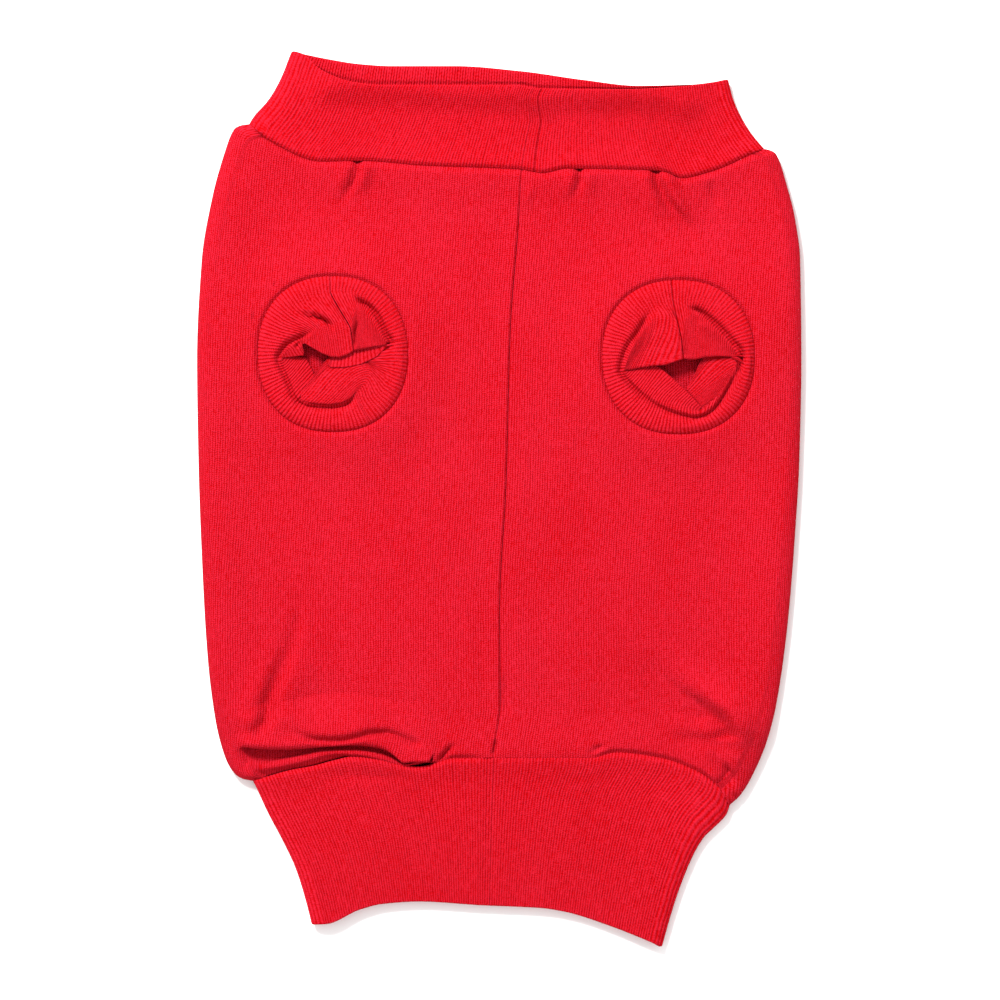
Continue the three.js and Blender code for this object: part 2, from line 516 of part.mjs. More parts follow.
/** A cuff's wall as a function of angle and row. Rows: 0 the sewn edge, 1 the outer ring's shoulder,
 * 2 the crease, 3 the flaps' roll, 4 the mouth. Between arms the mouth follows arm, middle and arm. */
function cuffSurface(cuff) {
  const { arms, level, crease } = cuff;
  const tipAngles = arms.map(({ tip }) => Math.atan2(tip[1], tip[0]));
  const flapWidths = tipAngles.map((at, i) => turnFrom(at, tipAngles[(i + 1) % 3]));
  const turns = [-360, 0, 360].flatMap((turn) => crease.map((row) => ({ ...row, at: row.at + turn })));
  const creaseRadius = through(turns, 'at', 'radius');
  const creaseDip = through(turns, 'at', 'dip');

  /** Place on the mouth for flap k, t from 0 at its first arm's tip to 1 at the next one's. */
  function mouth(k, t) {
    const [arm, next] = [arms[k], arms[(k + 1) % 3]];
    const inset = ({ tip }) => tip.map((c) => c * TIP_INSET);
    const route = [inset(arm), arm.corner, next.corner, inset(next)];
    const legs = [0, 1, 2].map((i) => [route[i + 1][0] - route[i][0], route[i + 1][1] - route[i][1]]);
    const lengths = legs.map(([dx, dy]) => Math.hypot(dx, dy));
    const starts = [0, lengths[0], lengths[0] + lengths[1]];
    const gone = t * (starts[2] + lengths[2]);
    const leg = gone < starts[1] ? 0 : gone < starts[2] ? 1 : 2;
    const share = (gone - starts[leg]) / lengths[leg];
    const alongArm = [share, 1, 1 - share][leg]; // 0 at a tip, 1 at the open middle
    const lap = lerp(-TIP_CLEARANCE, FLAP_OVERLAP, smooth(0.2, 0.65, alongArm)) * smooth(1, 0.8, alongArm);
    const beyond = lap / lengths[leg]; // past the arm's middle line, over or under the next flap
    return {
      x: route[leg][0] + share * legs[leg][0] - beyond * legs[leg][1],
      y: route[leg][1] + share * legs[leg][1] + beyond * legs[leg][0],
      spread: smooth(0, SPREAD_BY, alongArm),
    };
  }

  return (angle, row, depth) => {
    const flap = [0, 1, 2].find((i) => turnFrom(tipAngles[i], angle) < flapWidths[i]);
    const t = turnFrom(tipAngles[flap], angle) / flapWidths[flap];
    const hole = legHolePoint(cuff, angle, 1);
    const edge = legHolePoint(cuff, angle, 1 - SEAM_GAP / hole.radius);
    const base = bellyHeight(edge.x, edge.y, leftSide(edge.y), rightSide(edge.y));
    const degrees = THREE.MathUtils.radToDeg(turnFrom(0, angle));
    const creaseAt = creaseRadius(degrees);
    const ring = (radius, z) => {
      const { x, y } = legHolePoint(cuff, angle, radius / hole.radius);
      return new THREE.Vector3(x, y, z - depth);
    };
    const end = mouth(flap, t);
    const amidFlap = smooth(0, 0.15, t) * smooth(1, 0.85, t);
    const roll = base + RIDGE_LIFT - LOWER_ROLL * (2 - level[flap]) * amidFlap;
    const mouthHeight = lerp(base + RIDGE_LIFT - TIP_DROP, FLAP_HEIGHTS[level[flap]], end.spread);
    const rows = [
      new THREE.Vector3(edge.x, edge.y, base - RIM_DIP - depth),
      ring(creaseAt + SHOULDER_OUTSET, base + SHOULDER_LIFT),
      ring(creaseAt, base + SHOULDER_LIFT - CREASE_DIP * creaseDip(degrees)),
      ring(creaseAt - RIDGE_INSET, roll),
      new THREE.Vector3(cuff.x + end.x, cuff.y + end.y, mouthHeight - depth),
    ];
    const from = Math.min(Math.floor(row), rows.length - 2);
    return rows[from].clone().lerp(rows[from + 1], row - from);
  };
}

function cuffGeometry(cuff) {
  const surface = cuffSurface(cuff);
  const girth = Math.PI * (cuff.across + cuff.along);
  const ribs = Math.round(girth / CUFF_RIB_PITCH);
  const start = THREE.MathUtils.degToRad(cuff.seam);
  const halfGap = (SEAM_GAP / girth) * Math.PI;
  const round = (count) => steps(start + halfGap, start + 2 * Math.PI - halfGap, count);
  const ribAt = (angle) => ribDepth(((angle - start) / (2 * Math.PI)) * ribs);
  const vs = steps(0, 1, CUFF_ROWS);
  return toGeometry(closedWall(
    { ws: round(ribs * 2), vs, point: (w, v) => surface(w, v * CUFF_ROWS, ribAt(w)) },
    { ws: round(CUFF_INSIDE_STEPS), vs, point: (w, v) => surface(w, v * CUFF_ROWS, CUFF_RIB) },
  ));
}

// ---- the garment ----
const RED_JERSEY = new THREE.MeshStandardMaterial({ color: 0xe91d2b, roughness: 0.95, metalness: 0 });
const RED_RIB = new THREE.MeshStandardMaterial({ color: 0xe61a28, roughness: 0.95, metalness: 0 });

function piece(name, geometry, material) {
  const mesh = new THREE.Mesh(geometry, material.clone());
  mesh.name = name;
  return mesh;
}

const garment = new THREE.Group();
garment.add(piece('body', bodyGeometry(), RED_JERSEY));
garment.add(piece('neck_band', bandGeometry(neckSurface, NECK_BAND), RED_RIB));
garment.add(piece('waistband', bandGeometry(waistSurface, WAISTBAND), RED_RIB));
LEG_CUFFS.forEach((cuff) => garment.add(piece(cuff.name, cuffGeometry(cuff), RED_RIB)));

export default garment;
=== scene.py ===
"""A dog's pullover sweatshirt in plain red knit, laid flat with the belly side up.

The body is one piece of brushed sweatshirt knit, wrapped round and sewn along the belly. The neck band,
the waistband and the two leg cuffs are rib, folded double. Each is one closed wall about as thick as
its cloth; it is uneven under the creases, inside the tuck and where a cuff's folds cross.
Shapes are worked out in millimetres on the frame's own axes, X across, +Y to the neck, +Z up from the
surface that the garment lies on, and each mesh is made in metres.
"""
import json

import bpy
import numpy as np
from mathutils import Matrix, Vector

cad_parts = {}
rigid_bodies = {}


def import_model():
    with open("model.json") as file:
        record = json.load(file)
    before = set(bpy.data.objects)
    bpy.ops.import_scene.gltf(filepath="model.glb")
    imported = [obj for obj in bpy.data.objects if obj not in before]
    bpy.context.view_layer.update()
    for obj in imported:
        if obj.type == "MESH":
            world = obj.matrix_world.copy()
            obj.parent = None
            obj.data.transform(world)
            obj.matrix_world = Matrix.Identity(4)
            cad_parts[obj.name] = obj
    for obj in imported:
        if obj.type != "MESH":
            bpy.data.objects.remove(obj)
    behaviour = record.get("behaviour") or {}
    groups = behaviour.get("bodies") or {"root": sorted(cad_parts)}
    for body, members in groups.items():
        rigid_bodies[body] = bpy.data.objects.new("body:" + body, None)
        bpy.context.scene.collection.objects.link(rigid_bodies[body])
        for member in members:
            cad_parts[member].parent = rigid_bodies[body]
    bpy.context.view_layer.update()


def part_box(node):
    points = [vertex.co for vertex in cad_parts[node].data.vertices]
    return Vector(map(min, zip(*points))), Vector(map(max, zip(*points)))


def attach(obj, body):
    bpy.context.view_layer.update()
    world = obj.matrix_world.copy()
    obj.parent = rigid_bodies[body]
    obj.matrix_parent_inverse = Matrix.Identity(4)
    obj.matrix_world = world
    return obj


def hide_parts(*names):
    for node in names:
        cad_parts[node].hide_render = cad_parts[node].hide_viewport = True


for leftover in list(bpy.data.objects):
    bpy.data.objects.remove(leftover)
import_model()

MM = 0.001

# ---- cloth ----
JERSEY = 1.6  # wall of the sweatshirt knit
BAND_RIB = 1.8  # wall of the neck band and waistband, two layers of rib
CUFF_RIB = 1.7  # wall of a leg cuff
WALE = 0.9  # width of one column of jersey stitches
COURSE = 0.8  # height of one row of stitches
BAND_PITCH = 1.0  # from rib to rib on the bands
CUFF_PITCH = 1.4  # and on the leg cuffs, whose rib is coarser
LAID = 3.9  # height of the belly where it lies on the back
DEEPEST = 3.0  # lowest that a crease presses it
ROLL = 4.5  # how far a side fold reaches in

# ---- broad forms, each with how far it reaches ----
ROLL_LIFT, ROLL_REACH = 2.6, 13  # how much higher the cloth stands beside a side fold
END_ROLL_SHARE, END_REACH = 0.4, 25  # what is left of that rise at the neck and waist
CUFF_LIFT, CUFF_LIFT_REACH = 2.3, 13  # how much higher the belly stands round a leg cuff
SEAM_LIFT, SEAM_LIFT_REACH = 1.5, 11  # bulk of the seam allowances at the neck and waist
BELLY_SEAM_STEP, BELLY_SEAM_REACH = 0.3, 4  # along the belly seam the left half rises and the right sinks
BAND_LIFT = 0.4  # the doubled rib is a little thicker than the jersey
BAND_ROLL_LIFT = 1.2  # a band's own rise beside its folds
BAND_MEETS_BELLY = 6  # how far from the seam a band still follows the belly's height
BAND_PROUD = 0.1  # how far a band stands over the belly at their seam
NECK_GAPE = 3.0  # how far the front of the neck band lifts at its mouth
GAPE_RUN, GAPE_SIDE = (18, 28), 14  # where that grows, away from the seam and away from the side folds

# ---- grooves where cloth turns down into a seam: depth and reach ----
NECK_GROOVE = (1.3, 1.1)
WAIST_GROOVE = (1.3, 1.0)
CUFF_GROOVE = (1.0, 0.8)
BELLY_GROOVE = (0.45, 0.4)
BAND_GROOVE = (1.3, 0.9)
NECK_BAND_SEAM = (0.8, 0.5)
WAISTBAND_SEAM = (0.22, 1.6)
CUFF_SEAM = (0.4, 0.5)
UNDER_EDGE = (0.7, 0.45)  # inside the neck, under the front edge
SEAM_HALF_GAP = 0.015  # from a piece's edge to the middle of its own seam

# ---- outlines of the laid garment ----
LEFT_SIDE = {
    "y": [134.7, 134.2, 132.8, 124.7, 107.5, 86, 50, 14, -29, -58, -80, -92.7, -98.5, -100.8, -101.5],
    "x": [-90, -93.4, -95.5, -98.8, -103.5, -107.1, -108.8, -108.3, -106.7, -104.9, -102.1, -98.8, -95.6,
          -92.4, -88.6],
}
RIGHT_SIDE = {
    "y": [125.8, 125.2, 123.8, 114.7, 100.3, 86, 50, 14, -15, -44, -72.5, -87, -101, -107, -110.3],
    "x": [95.2, 97.8, 99.6, 102.8, 106.4, 108.2, 108.6, 107.9, 106.2, 103.8, 99.9, 96.3, 90.3, 86.4,
          82.8],
}
BELLY_SEAM = {
    "y": [150, 118, 98, 60, 5, -40, -74, -92, -160],
    "x": [14, 8.1, 6.7, 3.8, 2.3, 0, 0.2, -2, -4],
}
NECK_SEAM_FRONT = {
    "x": [-90, -82.3, -63.9, -50.6, -27.2, 7.4, 15.7, 24.3, 57.1, 65.7, 75.1, 95.2],
    "y": [134.7, 128.3, 121.1, 121.4, 119.7, 118.3, 117, 118.6, 117.9, 115.2, 117.2, 125.8],
}
NECK_SEAM_BACK = {"x": [-90, -60, 0, 60, 95.2], "y": [134.7, 128, 125.5, 123.5, 125.8]}
WAIST_SEAM_FRONT = {
    "x": [-88.6, -75.8, -66.8, -58.5, -52.7, -44.5, -35.8, -29.3, -24.7, -16.4, 33.3, 42, 57.8, 70.7,
          78.3, 82.8],
    "y": [-101.5, -97.7, -96, -93.8, -92.7, -93.2, -95.1, -96.4, -95.6, -93.3, -93.1, -91.2, -93.1, -97.7,
          -103.1, -110.3],
}
WAIST_SEAM_BACK = {"x": [-88.6, -60, 0, 60, 82.8], "y": [-101.5, -98, -97, -99, -110.3]}
NECK_LEFT = {
    "y": [134.7, 137.7, 142, 146.3, 152.8, 159.3, 160.9],
    "x": [-90, -88.2, -84.2, -81.2, -77.9, -75.4, -74.7],
}
NECK_RIGHT = {"y": [125.8, 131.2, 137.7, 144.2, 150.7], "x": [95.2, 90.7, 86.7, 83.9, 82.3]}
NECK_BEND = {  # how far the neck band's own seam is pulled to the side, and the ribs beside it
    "y": [120.8, 128, 135.2, 139.3, 144.4, 147.5],
    "shift": [-0.3, -0.2, 0, -1.4, -2.7, -1.9],
}
NECK_BEND_REACH = 12
MOUTH_SHARE = 26 / 30  # share of the neck band's length at which its back meets the front edge
NECK_EDGE_FRONT = {
    "x": [-74.7, -71.1, -63.9, -53.5, -41.6, 7.4, 15, 43, 68.6, 82.3],
    "y": [160.9, 160, 154, 149.8, 148.5, 148.5, 147.3, 147.1, 148.4, 150.7],
}
NECK_EDGE_BACK = {
    "x": [-74.7, -61.7, -50.2, -38.7, -15.7, 7.4, 30.4, 50, 68.6, 82.3],
    "y": [160.9, 158.2, 156.4, 155.7, 155.7, 153.9, 150.7, 148.6, 149, 150.7],
}
WAIST_LEFT = {
    "y": [-101.5, -104.2, -112.9, -121.5, -133, -144.5, -153.2],
    "x": [-88.6, -87.3, -83.3, -78.7, -73.3, -69.7, -67.5],
}
WAIST_RIGHT = {
    "y": [-110.3, -113, -118.6, -121.5, -127.3, -138.8, -150.3, -161.1],
    "x": [82.8, 82, 76.9, 73.8, 70.2, 65.3, 61.5, 58.5],
}
HEM = {
    "x": [-67.5, -62, -50.2, -41.6, -28.8, -7, 14.6, 23.2, 40.5, 58.5],
    "y": [-153.2, -152.9, -147.8, -145.7, -144.9, -146.2, -147.2, -148.5, -153.9, -161.1],
}

# ---- creases: a path across the cloth, the half width on its left and right as it runs, and its rise,
# which is below 0 for a trough; fade is the share of its length over which either end dies away ----
CREASE_LEGS = 24  # straight legs that a path is read in
LEFT_CREASES = [  # down the left side and on over the tuck's roll
    {"path": [(-71, -30), (-71.5, -40), (-74.3, -54.5), (-79.4, -65.3), (-83, -76.1), (-84.8, -85)],
     "width": (0.8, 2.8), "rise": -2.8, "fade": (0.65, 0.12)},
    {"path": [(-68, -40), (-72.5, -58), (-79, -74), (-81.2, -86)], "width": (7, 2.2), "rise": 2.0,
     "fade": (0.6, 0.3)},
    {"path": [(-78.5, -46), (-84, -62), (-88.5, -76), (-90, -86)], "width": (3.2, 5), "rise": 1.8,
     "fade": (0.6, 0.3)},
    {"path": [(-84, -79), (-88.7, -86.5)], "width": (2.5, 3.0), "rise": -1.2, "fade": (0.5, 0.3)},
]
BODY_CREASES = [
    {"path": [(-51, 122), (-51.4, 117.5), (-53.2, 113), (-56, 108), (-60, 102)], "width": (1.1, 0.9),
     "rise": -3.0, "fade": (0.02, 0.8)},
    {"path": [(-48, 121), (-49, 115), (-52, 108)], "width": (2.4, 2.4), "rise": 1.8, "fade": (0.2, 0.6)},
    {"path": [(-55, 121), (-56, 115), (-60, 108)], "width": (2.4, 2.4), "rise": 1.2, "fade": (0.2, 0.6)},
    {"path": [(28.4, 120), (29.3, 115), (28, 111), (25, 105.5)], "width": (0.9, 1.1), "rise": -2.8,
     "fade": (0.02, 0.8)},
    {"path": [(25, 118), (25.5, 113), (23, 107)], "width": (2.2, 2.4), "rise": 1.6, "fade": (0.2, 0.6)},
    {"path": [(32, 118), (32.5, 113), (30.5, 107)], "width": (2.2, 2.4), "rise": 1.0, "fade": (0.2, 0.6)},
    {"path": [(55.8, 120), (57.0, 114.5), (60.3, 107), (64.4, 101.6), (68.4, 95.5), (71, 88)],
     "width": (1.3, 1.5), "rise": -3.4, "fade": (0.02, 0.55)},
    {"path": [(59.5, 119), (61.5, 111.5), (66, 104), (72, 98)], "width": (2.6, 2.2), "rise": 2.2,
     "fade": (0.2, 0.5)},
    {"path": [(52.5, 119), (53.5, 112), (57, 104), (62, 97)], "width": (2.6, 2.6), "rise": 1.3,
     "fade": (0.2, 0.5)},
    {"path": [(75.2, 115), (77, 110), (80, 104.5)], "width": (1.4, 1.4), "rise": -1.3, "fade": (0.4, 0.4)},
    {"path": [(12.5, 117.5), (11, 110), (9, 104)], "width": (1.5, 1.5), "rise": 0.6, "fade": (0.5, 0.5)},
    {"path": [(57, -63.5), (64, -69), (68.6, -72.3), (73.4, -75.5), (77, -78), (80, -80.4), (81.8, -83.4),
              (82, -87)], "width": (3.0, 3.4), "rise": -2.8, "fade": (0.6, 0.06)},
    {"path": [(57, -56), (66.4, -65), (76, -71.5), (83.2, -76.9), (86.2, -83), (85.6, -91)],
     "width": (6.6, 5.6), "rise": 4.6, "fade": (0.55, 0.3)},
    {"path": [(38, -54), (53, -64), (65, -73), (76, -82)], "width": (7, 6), "rise": -1.7,
     "fade": (0.6, 0.2)},
    {"path": [(58, -77), (69, -81.5), (80, -86)], "width": (3.6, 3.6), "rise": 0.8, "fade": (0.5, 0.25)},
    {"path": [(56, -86), (70, -86.6), (82, -87.5)], "width": (2.5, 4), "rise": -1.0, "fade": (0.5, 0.2)},
    {"path": [(74, -90), (79, -96), (82, -100)], "width": (1.8, 1.8), "rise": -1.2, "fade": (0.5, 0.3)},
    {"path": [(81.8, -94), (82.6, -98.8), (81.2, -101.5), (78.7, -103.4)], "width": (0.7, 1.5),
     "rise": -3.4, "fade": (0.3, 0.1)},
    {"path": [(88.5, -78), (86, -90), (82.5, -100)], "width": (3.5, 2.5), "rise": 1.0, "fade": (0.4, 0.4)},
    {"path": [(1.6, -62), (1.7, -72), (3.4, -80)], "width": (2.0, 1.2), "rise": -0.8, "fade": (0.4, 0.4)},
    {"path": [(-11.4, -40), (-8.6, -64), (-3.6, -92)], "width": (0.9, 2.2), "rise": 0.35,
     "fade": (0.25, 0.25)},
    {"path": [(-16, -87.6), (-19.6, -92), (-22.5, -94.6)], "width": (0.7, 1.0), "rise": -2.4,
     "fade": (0.3, 0.3)},
    {"path": [(-1.2, -86), (-1.6, -90), (-3, -92.6)], "width": (0.7, 0.9), "rise": -1.2,
     "fade": (0.3, 0.3)},
    {"path": [(31.5, -92.6), (35.4, -89.6), (38, -88.6)], "width": (0.8, 1.0), "rise": -1.2,
     "fade": (0.4, 0.4)},
]
WAIST_CREASES = [  # on the waistband, under the tuck
    {"path": [(-88, -99), (-62, -99.5), (-36, -100.5), (-20, -99)], "width": (2.0, 1.2), "rise": -0.7,
     "fade": (0.4, 0.4)},
]


# ---- plain mathematics ----
def mix(a, b, t):
    """Straight from a at t = 0 to b at t = 1."""
    return a + (b - a) * t


def bell(distance, reach):
    """1 in the middle, fading on both sides: exp(-(distance / reach)^2)."""
    return np.exp(-((distance / reach) ** 2))


def sunk(distance, groove):
    """Depth of a groove at a distance from its middle: a bell, its depth high."""
    depth, reach = groove
    return depth * bell(distance, reach)


def smooth(x, start, end):
    """0 before start, 1 past end and a gentle S between: 3t^2 - 2t^3."""
    t = np.clip((x - start) / (end - start), 0, 1)
    return t * t * (3 - 2 * t)


def plateau(x, start, full, ebb, end):
    """0 outside start and end, 1 between full and ebb, and a gentle S on either side."""
    return smooth(x, start, full) * (1 - smooth(x, ebb, end))


def curve(at, values, paired=False):
    """A calm cubic through every row: between rows it keeps to their range, because the slope at a row is
    the harmonic mean of the slopes beside it, or 0 at a peak. Rows of values may be arrays; paired reads
    each column of places from the same column of the rows."""
    order = np.argsort(at)
    at = np.asarray(at, float)[order]
    values = np.asarray(values, float)[order]
    tail = (1,) * (values.ndim - 1)
    rise = np.diff(values, axis=0) / np.diff(at).reshape(-1, *tail)
    before, after = rise[:-1], rise[1:]
    turning = before * after <= 0
    slope = np.zeros_like(values)
    slope[1:-1] = np.where(turning, 0, 2 * before * after / np.where(turning, 1, before + after))
    slope[0], slope[-1] = rise[0], rise[-1]

    def pick(rows, i):
        return np.take_along_axis(rows, i, axis=0) if paired else rows[i]

    def read(x):
        x = np.asarray(x, float)
        i = np.clip(np.searchsorted(at, x, side="right") - 1, 0, len(at) - 2)
        shape = x.shape if paired else x.shape + tail
        span = (at[i + 1] - at[i]).reshape(shape)
        t = np.clip((x - at[i]).reshape(shape) / span, 0, 1)
        ease = span * t * (1 - t) * ((1 - t) * pick(slope, i) - t * pick(slope, i + 1))
        return mix(pick(values, i), pick(values, i + 1), t * t * (3 - 2 * t)) + ease

    return read


def along(table, by, value):
    """A calm curve that reads one column of a table by another."""
    return curve(table[by], table[value])


def crease_rise(creases, x, y):
    """Height that creases add at (x, y): each is a bell across its path, with a width of its own on
    either side, and grows from nothing at both ends of the path."""
    total = np.zeros(np.broadcast(x, y).shape)
    for crease in creases:
        path = np.array(crease["path"], float)
        run = curve(np.linspace(0, 1, len(path)), path)(np.linspace(0, 1, CREASE_LEGS + 1))
        nearest = np.full(total.shape, np.inf)
        place = np.zeros(total.shape)
        side = np.zeros(total.shape)
        for i, (start, leg) in enumerate(zip(run[:-1], np.diff(run, axis=0))):
            t = np.clip(((x - start[0]) * leg[0] + (y - start[1]) * leg[1]) / (leg @ leg), 0, 1)
            across = (x - start[0] - t * leg[0], y - start[1] - t * leg[1])
            away = np.hypot(*across)
            closer = away < nearest
            nearest = np.where(closer, away, nearest)
            place = np.where(closer, (i + t) / CREASE_LEGS, place)
            side = np.where(closer, leg[0] * across[1] - leg[1] * across[0], side)
        width = np.where(side > 0, crease["width"][0], crease["width"][1])
        start_fade, end_fade = crease["fade"]
        ends = smooth(place, 0, start_fade) * smooth(1 - place, 0, end_fade)
        total += crease["rise"] * ends * bell(nearest, width)
    return total


# ---- meshes ----
def grid_faces(rows, columns):
    """Quads of a grid whose points run along the columns first."""
    first = (np.arange(rows - 1)[:, None] * columns + np.arange(columns - 1)).ravel()
    return np.stack([first, first + 1, first + columns + 1, first + columns], axis=1)


def rim_faces(faces, count):
    """Quads that join the outer sheet's open edges to the inner sheet's, whose points come count later."""
    edges = np.concatenate([faces[:, [i, (i + 1) % 4]] for i in range(4)])
    key = edges[:, 0] * count + edges[:, 1]
    back = edges[:, 1] * count + edges[:, 0]
    a, b = edges[~np.isin(key, back)].T
    return np.stack([b, a, a + count, b + count], axis=1)


def cloth_piece(name, outer, inner, faces, uv, material, node):
    """One closed wall: the outer sheet, the inner sheet turned over, and a rim along every open edge."""
    outer, inner, uv = (np.reshape(points, (-1, points.shape[-1])) for points in (outer, inner, uv))
    count = len(outer)
    quads = np.concatenate([faces, faces[:, ::-1] + count, rim_faces(faces, count)])
    points = np.concatenate([outer, inner])
    used, quads = np.unique(quads, return_inverse=True)
    quads = quads.reshape(-1, 4)
    points = points[used]
    a, b, c, d = (points[quads[:, i]] for i in range(4))
    if np.einsum("ij,ij->", a, np.cross(b, c) + np.cross(c, d)) < 0:
        quads = quads[:, ::-1]
    mesh = bpy.data.meshes.new(name)
    mesh.from_pydata((points * MM).tolist(), [], quads.tolist())
    layer = mesh.uv_layers.new(name="knit")
    layer.data.foreach_set("uv", np.concatenate([uv, uv])[used][quads.ravel()].astype("f4").ravel())
    mesh.shade_smooth()
    mesh.materials.append(material)
    mesh.update()
    piece = bpy.data.objects.new(name, mesh)
    bpy.context.collection.objects.link(piece)
    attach(piece, "root")
    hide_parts(node)
    return piece


# ---- wrapped pieces: w runs once round from the belly seam, by the left fold, the back and the right
# fold, and these are the shares of the way at which each stretch ends ----
ENDS = [0, 0.24, 0.28, 0.72, 0.76, 1]
FOLD_MIDDLE = [0.26, 0.74]


def section(w, left, right, seam, depth):
    """Point of the flattened tube at w: how far across, its share of the height there, and its depth.
    The belly and back are level, and each side is half an ellipse, ROLL wide."""
    bounds = np.searchsorted(ENDS, np.broadcast_to(w, np.broadcast(w, left).shape), side="right") - 1
    t = (w - np.take(ENDS, np.clip(bounds, 0, 4))) / np.take(np.diff(ENDS), np.clip(bounds, 0, 4))
    turn = np.pi * np.where(bounds == 1, 0.5 + t, 1.5 - t)
    lean = np.cos(turn)
    x = np.select(
        [bounds == 0, bounds == 1, bounds == 2, bounds == 3],
        [mix(seam, left + ROLL, t), left + ROLL + (ROLL - depth) * lean, mix(left + ROLL, right - ROLL, t),
         right - ROLL - (ROLL - depth) * lean],
        mix(right - ROLL, seam, t))
    up = np.select([(bounds == 1) | (bounds == 3), bounds == 2], [np.sin(turn), -1.0 + 0 * t], 1.0 + 0 * t)
    middle = np.select([bounds == 1, bounds == 3], [left + ROLL + 0 * t, right - ROLL + 0 * t], x)
    return x, up, middle


def edge_line(front, back, sides):
    """A cross edge of a wrapped piece: how far along it lies at w, read from where w crosses it."""
    def at(turn):
        middle = along(BELLY_SEAM, "y", "x")(front(0.0))
        x, _, _ = section(turn, sides[0] + 0 * turn, sides[1], middle, 0)
        folded = (turn < FOLD_MIDDLE[0]) | (turn > FOLD_MIDDLE[1])
        return np.where(folded, front(x), back(x))
    at.left, at.right = front(sides[0]), front(sides[1])
    return at


def tube(w, v, start, end, left, right, height, depth, via=None):
    """A wrapped piece: rows run from the start edge to the end edge, and the row at via's share of the way
    on via's line. The height is read over the belly, or over the middle of a side fold, and the wall goes
    round it, depth in from the outer face."""
    turn = np.asarray(w)[None, :] - np.floor(w)
    v = np.asarray(v)[:, None]
    y = mix(start(turn), end(turn), v)
    if via:
        share, line = via[0], via[1](turn)
        before, after = mix(start(turn), line, v / share), mix(line, end(turn), (v - share) / (1 - share))
        y = np.where(v < share, before, after)
    sides = [left(mix(start.left, end.left, v)) + 0 * y, right(mix(start.right, end.right, v)) + 0 * y]
    x, up, middle = section(turn, *sides, belly_seam(y), depth)
    top = height(middle, y, *sides)
    return np.stack([x, y, top / 2 + (top / 2 - depth) * up], axis=-1)


belly_seam = along(BELLY_SEAM, "y", "x")
left_side = along(LEFT_SIDE, "y", "x")
right_side = along(RIGHT_SIDE, "y", "x")
neck_seam = along(NECK_SEAM_FRONT, "x", "y")
waist_seam = along(WAIST_SEAM_FRONT, "x", "y")
NECK_SIDES = (LEFT_SIDE["x"][0], RIGHT_SIDE["x"][0])
WAIST_SIDES = (LEFT_SIDE["x"][-1], RIGHT_SIDE["x"][-1])
NECK_SEAM = edge_line(neck_seam, along(NECK_SEAM_BACK, "x", "y"), NECK_SIDES)
WAIST_SEAM = edge_line(waist_seam, along(WAIST_SEAM_BACK, "x", "y"), WAIST_SIDES)


# ---- leg holes ----
CUFFS = ("leg_cuff_left", "leg_cuff_right")
CUFF_GAP = 0.3  # from a cuff's edge to the leg hole's
SQUARENESS = 2.25  # the leg holes are a little squarer than an ellipse


def leg_hole(node):
    """Middle and half sizes of a leg hole, from its cuff's box in the frame and the gap round it."""
    low, high = (np.array(corner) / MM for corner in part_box(node))
    middle, half = (low + high) / 2, (high - low) / 2 + CUFF_GAP
    return {"x": middle[0], "y": middle[1], "across": half[0], "along": half[1]}


LEG_HOLES = {node: leg_hole(node) for node in CUFFS}


def hole_radius(hole, angle):
    """Radius of a rounded square at an angle: (|cos/a|^n + |sin/b|^n)^(-1/n)."""
    across = np.abs(np.cos(angle) / hole["across"]) ** SQUARENESS
    lengthways = np.abs(np.sin(angle) / hole["along"]) ** SQUARENESS
    return (across + lengthways) ** (-1 / SQUARENESS)


def from_leg_hole(hole, x, y):
    """Distance out from a leg hole's edge, below 0 inside it."""
    away = np.hypot(x - hole["x"], y - hole["y"])
    return away - hole_radius(hole, np.arctan2(y - hole["y"], x - hole["x"]))


def from_cuffs(x, y):
    """Distance out from the nearer leg hole's edge, and 0 inside it."""
    return np.minimum(*(np.maximum(from_leg_hole(hole, x, y), 0) for hole in LEG_HOLES.values()))


# ---- body ----
def body_base(x, y, left, right):
    """Height of the belly with its broad forms, each a bell across its line: rolls beside the side folds,
    raised seam allowances at the neck and waist, cloth held up round the leg cuffs, and a small step
    across the belly seam."""
    from_side = np.maximum(np.minimum(x - left, right - x) - ROLL, 0)
    from_neck, from_waist = neck_seam(x) - y, y - waist_seam(x)
    inside = smooth(np.minimum(from_neck, from_waist), 0, END_REACH)
    from_seam = belly_seam(y) - x
    rolls = mix(END_ROLL_SHARE, 1, inside) * ROLL_LIFT * bell(from_side, ROLL_REACH)
    allowances = SEAM_LIFT * (bell(from_neck, SEAM_LIFT_REACH) + bell(from_waist, SEAM_LIFT_REACH))
    step = BELLY_SEAM_STEP * np.sign(from_seam) * bell(from_seam, BELLY_SEAM_REACH) * inside
    return LAID + rolls + CUFF_LIFT * bell(from_cuffs(x, y), CUFF_LIFT_REACH) + allowances + step


def seam_depth(x):
    """Share of its depth that the waist seam's groove has: the cloth lies smooth across its middle."""
    return 1 - 0.85 * plateau(x, -14, -4, 30, 40)


def body_height(x, y, left, right):
    """The broad forms with the creases, and a groove where the cloth turns down into each seam."""
    creased = body_base(x, y, left, right) + crease_rise(BODY_CREASES + LEFT_CREASES, x, y)
    grooves = (sunk(neck_seam(x) - y, NECK_GROOVE) + seam_depth(x) * sunk(y - waist_seam(x), WAIST_GROOVE)
               + sunk(from_cuffs(x, y), CUFF_GROOVE) + sunk(x - belly_seam(y), BELLY_GROOVE))
    return np.maximum(creased, DEEPEST) - grooves


